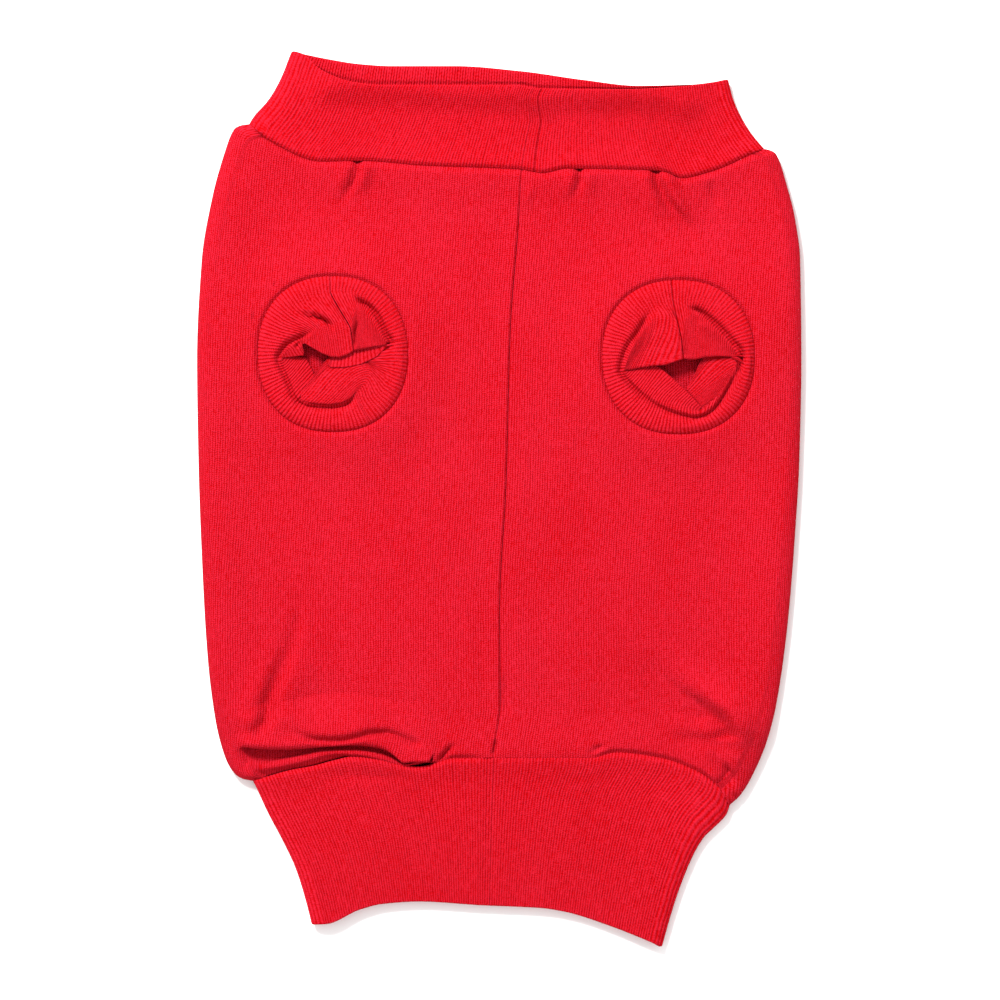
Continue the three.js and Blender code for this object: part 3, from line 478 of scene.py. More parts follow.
# ---- the tuck: over the left of the waist seam the belly hangs in a roll over its own lip ----
TUCK = {  # plan, by the place along the seam: crest of the lip, and edge of the roll over it
    "x": [-96, -92.7, -87.3, -84, -76.9, -72.9, -66.8, -62, -56.3, -48.8, -41.6, -35.8, -31.1, -28.4,
          -25.6, -23],
    "lip": [-90.5, -91.0, -92.6, -94.1, -95.2, -94.5, -93.1, -92, -90.7, -90.4, -90.7, -91.6, -93.3,
            -94.7, -95.2, -94.8],
    "roll": [-88.8, -89.1, -89.3, -89.5, -90, -90.2, -90.3, -90, -89.5, -89, -88.7, -89.5, -91.1,
             -93.2, -95.2, -94.9],
}
TUCK_CREASES = [
    {"path": [(-75, -82), (-71.1, -85.2), (-66.4, -87), (-58.5, -87.3), (-50.9, -86), (-47, -84.9),
              (-41.2, -84.4), (-36.5, -85.5), (-31.5, -88.4), (-28, -91)],
     "width": (1.6, 0.7), "rise": -2.8, "fade": (0.25, 0.12)},
]
TUCK_ENDS = (-95, -89, -25.6, -23.4)  # where it starts to open, is open, starts to close and is closed
SOFT_CLOSE = (9, 5)  # how much sooner and later the cloth over the roll closes
NOSE = (-41, -26)  # stretch over which the tuck takes in less and less cloth
NOSE_SIZE = 0.32  # share of the full tuck that is left at its end
TUCK_CLOTH = 24  # length of cloth over the seam that the tuck moves
# Stations on that cloth: seam, slope, lip, mouth, floor and end of the pocket, its roof, the roll's edge,
# its round and the belly over it. The last six lie past the roll's edge by a share of the tuck's size.
# A height is what a tuck of no size would have, and what a full one adds.
TUCK_STATIONS = [0, 1.5, 2.7, 3.6, 5.6, 7.6, 9.4, 10.2, 12.2, 16]
PAST_ROLL = [1.8, 3.0, 0.7, 0, 1.7, 5.5]
TUCK_HEIGHTS = [(5.2, -2.0), (4.6, 0.7), (3.8, 1.4), (2.4, 0), (2.0, 0), (2.9, 0), (4.4, 0), (5.0, 1.2),
                (6.2, 2.0), (6.4, 1.2)]


def tuck_in(points, cloth, top):
    """Folds the belly under itself above the waist seam, up to the row top. cloth is the distance up from
    the seam, and calm curves lead it over the tuck's stations. Only the outer face is folded: body() lays
    the inner one nearly flat below it. The second result is how far each point is tucked, from 0 to 1."""
    x, y, z = np.moveaxis(points, -1, 0)
    seam, lip, roll = waist_seam(x[0]), along(TUCK, "x", "lip")(x[0]), along(TUCK, "x", "roll")(x[0])
    size = mix(1, NOSE_SIZE, smooth(x[0], *NOSE))
    stations = [*TUCK_STATIONS, cloth[top]]
    last = TUCK_STATIONS[-1]
    folded = last * size
    full = last + (cloth[:, None] - folded) * (cloth[top] - last) / (cloth[top] - folded)
    full = np.where(cloth[:, None] < folded, cloth[:, None] / size, full)
    mouth = np.minimum(lip + 1.0, roll + 0.8)
    plan = [seam, mix(seam, lip, 0.55), lip - 0.2, mouth, *(roll + past * size for past in PAST_ROLL),
            y[top]]
    rise = [*(low + more * size for low, more in TUCK_HEIGHTS), z[top]]
    start, opened, closing, end = TUCK_ENDS
    upper = smooth(full, 13, 19)
    sooner, later = SOFT_CLOSE
    share = smooth(x, start, opened) - smooth(x, closing - sooner * upper, end + later * upper)
    share = share * (cloth <= cloth[top])[:, None]
    share = np.where(z > JERSEY, share, 0) * (np.arange(x.shape[1]) < np.searchsorted(BODY_W, ENDS[1]))
    tucked = np.stack([x, curve(stations, plan, True)(full), curve(stations, rise, True)(full)], axis=-1)
    over_roll = plateau(full, 10, 12.5, 17, TUCK_CLOTH)
    tucked[..., 2] += crease_rise(TUCK_CREASES + LEFT_CREASES, x, tucked[..., 1]) * over_roll
    return mix(points, tucked, share[..., None]), share


def paced(stops):
    """Places from 0 on, in even steps that change at each stop. A stop is (where, step)."""
    places = [0.0]
    for where, step in stops:
        count = max(int(round((where - places[-1]) / step)), 1)
        places.extend(np.linspace(places[-1], where, count + 1)[1:])
    return np.array(places)


def round_tube(stretches, slit, half_gap):
    """Places once round a tube from one side of its slit to the other, from shares along each stretch."""
    places = [start + share * (end - start)
              for share, start, end in zip(stretches, ENDS[:-1], ENDS[1:])]
    once = np.unique(np.round(np.concatenate(places), 9))
    once = np.where(once <= slit, once + 1, once)
    inner = np.sort(once[(once > slit + half_gap * 2) & (once < slit + 1 - half_gap * 2)])
    return np.concatenate([[slit + half_gap], inner, [slit + 1 - half_gap]])


BELLY_HALF = 95.0  # width of the belly on one side of its seam
BODY_LENGTH = 225.0
across_belly = paced([(1.2, 0.25), (4, 0.55), (BELLY_HALF, 1.2)]) / BELLY_HALF
round_side, across_back = np.linspace(0, 1, 12), np.linspace(0, 1, 22)
BODY_W = round_tube([across_belly, round_side, across_back, round_side, 1 - across_belly], 0,
                    SEAM_HALF_GAP / BELLY_HALF * ENDS[1])
BODY_V = paced([(7, 0.35), (26, 0.85), (190, 1.8), (200, 0.8), (223, 0.5), (BODY_LENGTH, 0.25)])
BODY_V = BODY_V / BODY_LENGTH
HOLE_MARGIN = 4.0  # a belt of this width round each leg hole has rows of its own
HOLE_ROWS = np.array([3.2, 2.5, 1.9, 1.4, 1.0, 0.65, 0.35, 0.15, 0.03])  # from the hole's edge
LEAST_WALL = 0.8  # drop from the outer face to the inner one under a deep crease
BACK_GAP = 0.2  # between the belly and the back layer under it


def jersey_uv(x, y, w):
    """Millimetres across and along the knit: wales run beside the belly seam and on round the folds."""
    turn = w + 0 * x
    girth = 2 * (right_side(0.0) - left_side(0.0))
    from_seam = x - belly_seam(y)
    left_end, right_end = left_side(y) + ROLL - belly_seam(y), right_side(y) - ROLL - belly_seam(y) - girth
    hidden = mix(left_end, right_end, (turn - ENDS[1]) / (ENDS[4] - ENDS[1]))
    u = np.select([turn < ENDS[1], turn < ENDS[4]], [from_seam, hidden], from_seam - girth)
    return np.stack([u, y + 0 * x], axis=-1)


def open_leg_hole(hole, outer, inner, uv, faces):
    """Drops the faces within a margin of the hole, draws their loose points out to that line, and closes
    the margin with a belt of rows that run round the hole."""
    belly = outer[:, 2] > JERSEY + 1  # over the back layer
    near = belly & (from_leg_hole(hole, outer[:, 0], outer[:, 1]) < HOLE_MARGIN)
    dropped = near[faces].all(axis=1)
    kept, gone = faces[~dropped], faces[dropped]
    loose = np.intersect1d(kept, gone)
    angle = np.arctan2(outer[loose, 1] - hole["y"], outer[loose, 0] - hole["x"])
    loose = loose[np.argsort(angle)]
    angle = np.sort(angle)
    away = np.concatenate([[HOLE_MARGIN], HOLE_ROWS])[:, None]
    radius = hole_radius(hole, angle) + away
    x, y = hole["x"] + radius * np.cos(angle), hole["y"] + radius * np.sin(angle)
    z = body_height(x, y, left_side(y), right_side(y))
    belt = np.stack([x, y, z], axis=-1)
    w = np.where(x < belly_seam(y), 0.1, 0.9)  # any place on the left or right half of the belly
    inner_belt = belt - [0, 0, JERSEY]
    outer, inner, uv = outer.copy(), inner.copy(), uv.copy()
    belt_uv = jersey_uv(x, y, w)
    outer[loose], inner[loose], uv[loose] = belt[0], inner_belt[0], belt_uv[0]
    count, around = len(outer), len(loose)
    row = np.arange(len(HOLE_ROWS) * around).reshape(-1, around) + count
    row = np.vstack([loose, row])
    ahead = np.roll(row, -1, axis=1)
    belt_faces = np.stack([row[:-1], row[1:], ahead[1:], ahead[:-1]], axis=-1).reshape(-1, 4)
    return (np.vstack([outer, belt[1:].reshape(-1, 3)]), np.vstack([inner, inner_belt[1:].reshape(-1, 3)]),
            np.vstack([uv, belt_uv[1:].reshape(-1, 2)]), np.vstack([kept, belt_faces[:, ::-1]]))


def body(material):
    """The sweatshirt's body: one wrapped wall with the tuck at the waist and the two leg holes."""
    shape = (NECK_SEAM, WAIST_SEAM, left_side, right_side)
    outer = tube(BODY_W, BODY_V, *shape, body_height, 0)
    inner = tube(BODY_W, BODY_V, *shape, body_base, JERSEY)
    cloth = (1 - BODY_V) * BODY_LENGTH
    uv = jersey_uv(outer[..., 0], outer[..., 1], BODY_W[None, :])
    top = np.argmin(np.abs(cloth - TUCK_CLOTH))
    outer, tucked = tuck_in(outer, cloth, top)
    steps = np.linalg.norm(np.diff(outer[top:], axis=0), axis=-1)
    uv[top + 1:, :, 1] = uv[top, :, 1] - np.cumsum(steps, axis=0)
    over = (BODY_W < ENDS[1]) | (BODY_W > ENDS[4])
    under = np.minimum(inner[..., 2], outer[..., 2] - LEAST_WALL)
    under = np.maximum(mix(under, 0, np.minimum(tucked * 2, 1)), JERSEY + BACK_GAP)
    inner[..., 2] = np.where(over, under, inner[..., 2])
    faces = grid_faces(len(BODY_V), len(BODY_W))
    sheets = (outer.reshape(-1, 3), inner.reshape(-1, 3), uv.reshape(-1, 2), faces)
    for hole in LEG_HOLES.values():
        sheets = open_leg_hole(hole, *sheets)
    outer, inner, uv, faces = sheets
    return cloth_piece("sweatshirt_body", outer, inner, faces, uv, material, "body")


# ---- rib bands ----
BAND_RELIEF = 0.22  # from a rib's crest to its valley
CUFF_RELIEF = 0.2
RIB_UNEVENNESS = 0.35  # share of its depth by which a valley may differ
BAND_COLUMNS = 5  # points across one rib
CUFF_COLUMNS = 6
EDGE_ROWS = np.array([0.05, 0.15, 0.35, 0.65, 1.0, 1.5])  # rows that round off a folded edge
OUTER_ROUND = 0.6  # share of a band's wall over which its outer face rounds off at the folded edge
RIB_ON_ROUND = 0.3  # share of the ribs' depth that goes on over that round
INNER_RIB = 0.8  # share of it on a band's inner face


def rib_valley(ribs, relief):
    """Depth under a rib's crest, with a round crest and a sharp valley: 1 - |sin(pi ribs)|. Two waves out
    of step make some valleys deeper than others."""
    which = np.round(ribs)
    uneven = 1 + RIB_UNEVENNESS * np.sin(which * 2.3) * np.sin(which * 0.71 + 1)
    return relief * uneven * (1 - np.abs(np.sin(np.pi * ribs)))


def rounded(distance, wall):
    """How far an outer face draws in near a folded edge: a quarter circle of half the wall."""
    half = wall / 2
    near = np.clip(1 - distance / half, 0, 1)
    return half * (1 - np.sqrt(1 - near ** 2))


def band_height(seam_curve, outward, creases=()):
    """Height of a band: flat, a little raised beside the folds, and sunk where it meets the seam. Away from
    the seam it is its own, near it the belly's. outward is 1 for the neck band, whose front lifts at its
    mouth, and -1 for the waistband."""
    def height(x, y, left, right):
        from_side = np.maximum(np.minimum(x - left, right - x) - ROLL, 0)
        away = np.maximum((y - seam_curve(x)) * outward, 0)
        flat = LAID + BAND_LIFT + BAND_ROLL_LIFT * bell(from_side, ROLL_REACH) + crease_rise(creases, x, y)
        belly = body_base(x, seam_curve(x), left, right) + BAND_PROUD
        raised = mix(flat, belly, bell(away, BAND_MEETS_BELLY))
        open_end = NECK_GAPE * smooth(away, *GAPE_RUN) * smooth(from_side, 0, GAPE_SIDE) * (outward > 0)
        share = 1 if outward > 0 else seam_depth(x)
        return np.maximum(raised, LAID) + open_end - share * sunk(away, BAND_GROOVE)
    return height


def band(name, node, start, end, sides, height, slit, length, rows, widths, material, own_seam, bend=None,
         via=None):
    """A doubled rib band on its tube, length long, with its own seam at slit and rows from the sewn edge
    on. widths are those of the stretches once round. Its ribs stand along each of them, inside and
    outside, and its own seam lies in a groove, which bend may pull to the side."""
    counts = [int(round(width / BAND_PITCH)) for width in widths]
    stretches = [np.linspace(0, 1, count * BAND_COLUMNS + 1) for count in counts]
    w = round_tube(stretches, slit, SEAM_HALF_GAP / widths[0] * ENDS[1])
    turn = w - np.floor(w)
    ribs = np.interp(turn, ENDS, np.concatenate([[0], np.cumsum(counts)]))
    v = np.concatenate([rows, length - EDGE_ROWS[::-1], [length]])
    from_seam = ((turn - slit + 0.5) % 1 - 0.5) * widths[0] / ENDS[1]
    valley = (rib_valley(ribs, BAND_RELIEF) + sunk(from_seam, own_seam))[None, :]
    from_edge = (length - v)[:, None]
    outer_depth = np.maximum(valley, rounded(from_edge, OUTER_ROUND * BAND_RIB) + RIB_ON_ROUND * valley)
    inner_depth = BAND_RIB - np.maximum(INNER_RIB * valley, rounded(from_edge, BAND_RIB))
    if via:
        back = plateau(turn, ENDS[2], ENDS[2] + 0.02, ENDS[3] - 0.02, ENDS[3])
        inner_depth -= sunk(v[:, None] - via[0] * length, UNDER_EDGE) * back
    outer = tube(w, v / length, start, end, *sides, height, outer_depth, via)
    inner = tube(w, v / length, start, end, *sides, height, inner_depth, via)
    for sheet in (outer, inner) if bend else ():
        sheet[..., 0] += along(bend, "y", "shift")(sheet[..., 1]) * bell(from_seam, NECK_BEND_REACH)
    uv = np.stack(np.broadcast_arrays(ribs[None, :] * BAND_PITCH, v[:, None]), axis=-1)
    return cloth_piece(name, outer, inner, grid_faces(len(v), len(w)), uv, material, node)


def neck_band(material):
    """The neck band, open at its mouth: its back stands further out than its front edge and is seen
    inside, over the row where it passes out of sight."""
    sides = (along(NECK_LEFT, "y", "x"), along(NECK_RIGHT, "y", "x"))
    mouth = edge_line(along(NECK_EDGE_FRONT, "x", "y"), along(NECK_EDGE_BACK, "x", "y"),
                      (NECK_LEFT["x"][-1], NECK_RIGHT["x"][-1]))
    rows = paced([(2, 0.5), (24.8, 2.3), (27.2, 0.35), (28, 0.8)])

    def under_front(turn):
        """The line where the back of the neck passes out of sight under the front edge."""
        plain = mix(NECK_SEAM(turn), mouth(turn), MOUTH_SHARE)
        x = section(turn, NECK_LEFT["x"][-1] + 0 * turn, NECK_RIGHT["x"][-1], 0, 0)[0]
        seen = np.minimum(along(NECK_EDGE_FRONT, "x", "y")(x) + 0.45, mouth(turn) - 0.3)
        on_back = (turn > ENDS[2]) & (turn < ENDS[3])
        return mix(plain, seen, plateau(x, -73, -67, 68, 77) * on_back)

    return band("neck_rib_band", "neck_band", NECK_SEAM, mouth, sides, band_height(neck_seam, 1),
                slit=0.985, length=30.0, rows=rows, widths=(83, 9, 157, 9, 74), material=material,
                own_seam=NECK_BAND_SEAM, bend=NECK_BEND, via=(MOUTH_SHARE, under_front))


def waistband(material):
    """The waistband, from under the belly to its hem, where front and back end together."""
    sides = (along(WAIST_LEFT, "y", "x"), along(WAIST_RIGHT, "y", "x"))
    hem_front = along(HEM, "x", "y")
    hem = edge_line(hem_front, hem_front, (WAIST_LEFT["x"][-1], WAIST_RIGHT["x"][-1]))
    rows = paced([(2, 0.4), (12, 1.4), (51, 2.8)])
    return band("waist_rib_band", "waistband", WAIST_SEAM, hem, sides,
                band_height(waist_seam, -1, WAIST_CREASES), slit=0.007, length=53.0, rows=rows,
                widths=(71, 9, 132, 9, 68), material=material, own_seam=WAISTBAND_SEAM)


# ---- leg cuffs, in millimetres from the middle of the leg hole ----
# Each row guides one rib from the sewn ring to the cuff's mouth: its angle on the ring, the ribs folded
# away before it, the radius up to which the ring stays round, and its root and edge on the flap that it
# ends in. Rows run counterclockwise from the cuff's own seam.
GUIDE = ("ring", "tucked", "shoulder", "root_x", "root_y", "root_z", "edge_x", "edge_y", "edge_z")
GUIDES = {
    "leg_cuff_right": [
        (95.3, 0, 20.5, 1.2, 5.0, 8.3, 1.85, -0.7, 8.3),
        (101, 0, 20, -0.4, 12, 8.2, -4.5, -2.9, 8.3),
        (108, 0, 20, -3.4, 14.5, 8.1, -9.5, -3.3, 8.2),
        (118, 0, 20, -8, 13.6, 8.0, -14.5, -4.0, 8.0),
        (130, 0, 19.5, -11.4, 10.6, 7.9, -17.8, -4.7, 7.8),
        (150, 0, 19.2, -14.8, 6.0, 7.8, -18.9, -4.9, 7.6),
        (175, 0, 21.6, -17.8, 0.4, 7.6, -19.3, -5.0, 7.3),
        (193, 0, 22.6, -19.4, -4.6, 7.2, -19.6, -5.0, 7.1),
        (194.5, 0, 22.6, -19.2, -5.6, 7.0, -18.4, -4.0, 6.4),
        (208, 0, 21.3, -16.6, -8.2, 7.2, -11.0, -1.8, 5.6),
        (224, 0, 20.6, -12.5, -11.3, 7.2, -6.8, -3.4, 5.6),
        (242, 0, 20.5, -8.0, -14.4, 7.2, -1.5, -8.1, 5.8),
        (262, 0, 21.1, -2.2, -17.1, 7.1, 2.6, -11.8, 6.0),
        (278, 0, 22.6, 3.2, -18.9, 7.0, 5.8, -15.2, 6.2),
        (289, 0, 23.5, 7.0, -19.6, 6.8, 8.3, -18.0, 6.5),
        (290.5, 0, 23.5, 8.6, -19.2, 6.6, 7.8, -17.9, 5.6),
        (302, 0, 23.3, 14.4, -13.6, 6.7, 8.0, -18.0, 5.6),
        (318, 0, 22.8, 18.0, -7.9, 6.8, 6.8, -16.4, 5.6),
        (334, 0, 23.4, 20.4, -3.2, 6.8, 5.4, -14.8, 5.6),
        (343, 0, 24, 20.2, -0.2, 6.5, 4.0, -13.2, 5.7),
        (350, 0, 24.2, 16.8, 1.2, 6.0, 2.8, -11.6, 5.7),
        (355, 0, 24.4, 14.6, 1.2, 5.9, 4.8, -8.2, 5.7),
        (359, 0, 24.0, 12.6, 1.2, 5.8, 6.4, -5.0, 5.6),
        (361.7, 0, 23.3, 10.3, 1.2, 5.7, 7.9, -1.2, 5.6),
        (361.9, 0, 23.3, 21.6, 0.4, 7.0, 21.0, -0.1, 6.9),
        (376, 0, 22.2, 18.4, 4.2, 7.7, 18.0, 0.1, 7.6),
        (392, 0, 20.3, 14.6, 8.4, 8.0, 14.2, 0.2, 8.1),
        (412, 0, 19.8, 9.6, 13, 8.1, 9.4, -0.2, 8.3),
        (430, 0, 20, 5.6, 14.8, 8.1, 6.2, -1, 8.3),
        (446, 0, 20.4, 2.4, 13, 8.2, 3.6, -1, 8.3),
        (455.2, 0, 20.5, 1.3, 5.2, 8.3, 1.95, -0.75, 8.3),
    ],
    "leg_cuff_left": [
        (91.9, 0, 22, 6.4, 9.0, 8.2, 7.6, 1.0, 8.2),
        (98, 0, 22, 3.6, 11.0, 8.2, 5.2, -0.4, 8.3),
        (108, 0, 21.5, 0.4, 10.6, 8.2, 2.4, -1.3, 8.3),
        (120, 0, 21, -2.6, 9.6, 8.1, -0.8, -1.1, 8.3),
        (133, 0, 20.5, -5.4, 8.8, 8.0, -4.0, 0.2, 8.2),
        (145, 0, 20.5, -8.0, 7.8, 7.8, -7.4, 2.2, 8.0),
        (151, 0, 20.6, -9.6, 7.2, 7.7, -10.0, 3.7, 7.9),
        (155, 0, 20.7, -11.0, 6.4, 7.6, -10.9, 3.2, 7.6),
        (159, 0, 20.8, -12.4, 5.4, 7.5, -10.3, 0.8, 6.7),
        (164, 0, 20.7, -14.0, 4.2, 7.4, -10.4, -0.6, 6.2),
        (171, 0, 20.5, -16.0, 2.6, 7.2, -13.2, -0.9, 6.4),
        (178, 0, 20.7, -17.4, 0.9, 7.1, -16.0, -1.2, 6.6),
        (184, 0, 21.0, -18.4, -0.6, 7.0, -18.2, -1.4, 6.8),
        (186.5, 0, 21, -18.4, -2.4, 6.8, -17.8, -1.2, 6.2),
        (198, 0, 20.6, -16.8, -5.2, 6.8, -12.6, -0.8, 4.2),
        (210, 0, 20.8, -15.4, -8.6, 6.8, -9.6, -1.2, 3.9),
        (221, 0, 21.4, -14.0, -11.8, 6.8, -7.6, -5.0, 3.9),
        (229, 0, 22.4, -12.8, -14.6, 6.7, -6.4, -7.6, 3.9),
        (232, 0, 22.9, -12.2, -15.8, 6.6, -8.8, -11.0, 4.6),
        (233.5, 0, 22.9, -11.8, -16.2, 6.0, -11, -15.2, 5),
        (250, 0, 21.6, -6.6, -17.6, 5.4, -5.6, -15.0, 4.2),
        (270, 0, 20.8, 0.0, -17.4, 5.2, 0.0, -14.8, 4.2),
        (288, 0, 20.2, 5.4, -15.9, 5.6, 4.4, -13.6, 4.2),
        (297, 0, 20, 7.6, -14.2, 6.6, 6.8, -13.2, 5.2),
        (300, 1, 20, 8.8, -13.6, 7.2, 6.6, -16.0, 6.9),
        (312, 0, 21.2, 11.6, -10.6, 7.3, 2.6, -17.7, 6.8),
        (322, 0, 22, 13.0, -7.4, 7.3, -1.2, -18.2, 6.8),
        (332, 0, 22.4, 12.6, -4.8, 7.0, -4.8, -18.0, 6.8),
        (341, 0, 22.8, 10.6, -3.0, 6.4, -8.2, -17.6, 6.8),
        (349, 0, 22.8, 6.8, -2.6, 6.0, -11.2, -16.8, 6.7),
        (356, 0, 22.6, 3.2, -2.8, 5.8, -11.9, -14.8, 6.2),
        (362, 0, 22.4, -0.2, -3.0, 5.7, -9.3, -10.8, 5.9),
        (367, 0, 22.4, -1.4, -2.4, 5.7, -6.4, -6.8, 5.8),
        (369.8, 0, 21.8, -0.6, -0.8, 5.6, -2.6, -2.2, 5.7),
        (371.2, 0, 21.4, 0.0, 0.0, 5.8, -1.7, -3.9, 6.5),
        (371.205, 3, 21.4, 0.4, 0.4, 6.0, -0.9, -4.9, 6.9),
        (371.21, 4, 21.4, 5.0, 1.2, 6.4, 4.4, -4.9, 7.1),
        (371.215, 4, 21.4, 10.0, 2.4, 6.6, 10.2, -3.8, 7.2),
        (371.22, 4, 21.4, 15.0, 3.4, 6.8, 15.8, -1.1, 7.2),
        (371.225, 2, 21.4, 18.8, 4.0, 6.9, 19.4, 2.4, 7.1),
        (371.23, 0.5, 21.4, 19.6, 4.2, 7.2, 19.2, 3.4, 7.5),
        (385, 0, 22, 16.8, 7.2, 7.8, 16.4, 2.8, 8.2),
        (400, 0, 22.4, 14.4, 11.4, 8.0, 13.8, 2.3, 8.4),
        (415, 0, 22.9, 11.2, 14.8, 8.1, 11.4, 1.8, 8.4),
        (432, 0, 23.1, 8.6, 15.8, 8.1, 9.4, 1.4, 8.4),
        (451.8, 0, 22.4, 6.6, 9.2, 8.2, 7.7, 1.0, 8.3),
    ],
}
CUFF_CREASES = {
    "leg_cuff_right": [
        {"path": [(-8.6, 17), (-11.7, 13.3), (-13.5, 10.1), (-16.2, 6.4), (-18.5, 2.8), (-20.1, -1.3),
                  (-20.7, -5.2), (-17.6, -9.1), (-13.5, -13.2), (-8.9, -16.6), (-4.4, -18.9), (0.2, -20.5),
                  (4.8, -21.6), (7.5, -21.6), (11.6, -19.6), (14.3, -16.8), (16.6, -13.2), (18.9, -9.1),
                  (21.2, -5)], "width": (0.55, 1.2), "rise": -2.6, "fade": (0.1, 0.06)},
        {"path": [(18.9, -9.1), (21.2, -5), (22.5, -1.8), (22.9, 0.4), (22.3, 2.5), (19.8, 5), (16.6, 8.7),
                  (13, 12.3), (9.3, 15.3), (5.7, 17.1), (2.2, 17.2)],
         "width": (0.5, 1.0), "rise": -3.8, "fade": (0.2, 0.18)},
        {"path": [(15, 6.2), (11, 10.2), (6, 13.6)], "width": (1.6, 1.2), "rise": 0.7, "fade": (0.4, 0.4)},
    ],
    "leg_cuff_left": [
        {"path": [(-6.2, 9), (-9.8, 6.5), (-13, 5.1), (-16.2, 3.3), (-18.5, 0.6), (-19.6, -1.8),
                  (-17.2, -7.2), (-15.3, -11.7), (-13, -16.8), (-8.9, -18.7), (-4.3, -19.2), (0.2, -19.2),
                  (3.9, -18.5), (6.6, -16.8), (8.6, -14)],
         "width": (0.55, 1.2), "rise": -2.6, "fade": (0.12, 0.12)},
        {"path": [(15.7, -1.8), (18.9, 1.2), (20.8, 4.2), (19.0, 7), (17.6, 10.2), (15.7, 13.8),
                  (13.5, 16.5), (10.3, 18.4), (7.0, 20.4)],
         "width": (0.5, 1.0), "rise": -4.0, "fade": (0.35, 0.15)},
        {"path": [(-13, 13.4), (-8, 13.3), (-5.2, 12.9), (-2.5, 11.5), (0.6, 8.4)], "width": (1.0, 0.5),
         "rise": -3.8, "fade": (0.35, 0.2)},
        {"path": [(-12, 15), (-7, 14.9), (-3.5, 14), (-0.6, 12)], "width": (1.2, 1.2), "rise": 0.8,
         "fade": (0.4, 0.4)},
        {"path": [(7.9, 13), (8.7, 10.2), (8.1, 7.4), (8.1, 4.7), (7.8, 1.6)], "width": (0.6, 0.6),
         "rise": -1.6, "fade": (0.3, 0.2)},
        {"path": [(1.1, 23), (5.7, 14.3), (7.0, 10.8), (6.4, 6)], "width": (0.7, 0.9), "rise": 0.9,
         "fade": (0.3, 0.3)},
        {"path": [(-11.4, 5.0), (-13.4, 1.8)], "width": (0.5, 0.8), "rise": -1.6, "fade": (0.3, 0.3)},
    ],
}
RING_RIB = 3.0  # degrees of the ring to a rib
CUFF_STATIONS = [0, 1.0, 4.5, 8, 12, 27]  # where each row of stations stands along the cuff's length
CUFF_SLIT = 0.03  # between the cuff's sewn edge and the leg hole's
CUFF_TURN = 1.0  # how far in from there the cuff has come up out of its seam
RING_RISE = (-0.8, 0.2, 0.9, 1.0)  # over the belly: at the sewn edge, its turn, the crown, the shoulder
MOUTH_ROUND = 0.8  # below 1 the round of the mouth's edge is spread
PRESSED_PITCH = (0.4, 0.9)  # ribs pressed closer than this lose their relief


def leg_cuff(node, name, material):
    """A doubled rib cuff, fallen in on itself. Every rib runs over stations: the sewn edge and its turn,
    the ring's crown and shoulder, then its root and edge on a flap, with a calm curve between them."""
    hole = LEG_HOLES[node]
    guide = dict(zip(GUIDE, np.array(GUIDES[node]).T))
    rib = np.cumsum(np.concatenate([[0], np.diff(guide["ring"]) / RING_RIB]) + guide["tucked"])
    count = int(round(rib[-1])) * CUFF_COLUMNS + 1
    ribs = np.linspace(0, rib[-1], count)
    at = {column: np.interp(ribs, rib, values) for column, values in guide.items()}
    angle = np.radians(at["ring"])
    rim = hole_radius(hole, angle) - CUFF_SLIT
    level = body_base(hole["x"] + rim * np.cos(angle), hole["y"] + rim * np.sin(angle),
                      left_side(hole["y"]), right_side(hole["y"]))

    def on_ring(radius, z):
        return np.stack([radius * np.cos(angle), radius * np.sin(angle), z], axis=-1)

    crown = mix(rim, at["shoulder"], 0.5)
    radii = (rim, rim - CUFF_TURN, crown, at["shoulder"])
    stations = [*(on_ring(radius, level + rise) for radius, rise in zip(radii, RING_RISE)),
                *(np.stack([at[part + axis] for axis in ("_x", "_y", "_z")], axis=-1)
                  for part in ("root", "edge"))]
    length = CUFF_STATIONS[-1]
    v = np.concatenate([paced([(1.5, 0.25), (12, 0.55), (25, 0.7)]), length - EDGE_ROWS[::-1], [length]])
    plane = curve(CUFF_STATIONS, stations)(v)
    plane[..., 2] += crease_rise(CUFF_CREASES[node], plane[..., 0], plane[..., 1])
    pitch = np.linalg.norm(np.gradient(plane[..., :2], ribs, axis=1), axis=-1)
    relief = rib_valley(ribs, CUFF_RELIEF)[None, :] * smooth(pitch, *PRESSED_PITCH)
    from_seam = np.minimum(ribs, rib[-1] - ribs)[None, :] * np.maximum(pitch, 0.6)
    from_edge = (length - v)[:, None] * MOUTH_ROUND
    outer, inner = plane.copy(), plane.copy()
    outer[..., 2] -= np.maximum(relief, rounded(from_edge, CUFF_RIB)) + sunk(from_seam, CUFF_SEAM)
    inner[..., 2] -= CUFF_RIB - rounded(from_edge, CUFF_RIB)
    shift = [hole["x"], hole["y"], 0]
    uv = np.stack(np.broadcast_arrays(ribs[None, :] * CUFF_PITCH, v[:, None]), axis=-1)
    return cloth_piece(name, outer + shift, inner + shift, grid_faces(len(v), count), uv, material, node)


# ---- finishes ----
WANDER_GRAIN = (2.2, 6.0)  # millimetres across and along the knit, as are the grains below
FIBRE_GRAIN = (0.5, 0.7)  # tufts of raised fibre
STREAK_GRAIN = (0.55, 3.0)  # thick and thin yarn
PATCH_GRAIN = (26.0, 40.0)  # broad patches where the tone is a little lighter or darker, at random
FUZZ = 1.4  # height of tufts and streaks beside that of a stitch
PATCHES = 0.5  # how much the patches shift the tone
SHADE_CONTRAST = 1.6  # from height to tone: lower knit is painted darker, painted shade in its valleys, and higher knit paler, painted highlight
MEAN_CREST = 0.637  # mean of |sin|
KNIT_DEPTH = 0.22 * MM  # the knit's relief at its full height


def linear(code):
    """Linear colour from an sRGB hex code."""
    channels = np.array([int(code[i:i + 2], 16) / 255 for i in (1, 3, 5)])
    toned = np.where(channels <= 0.04045, channels / 12.92, ((channels + 0.055) / 1.055) ** 2.4)
    return (*toned, 1.0)


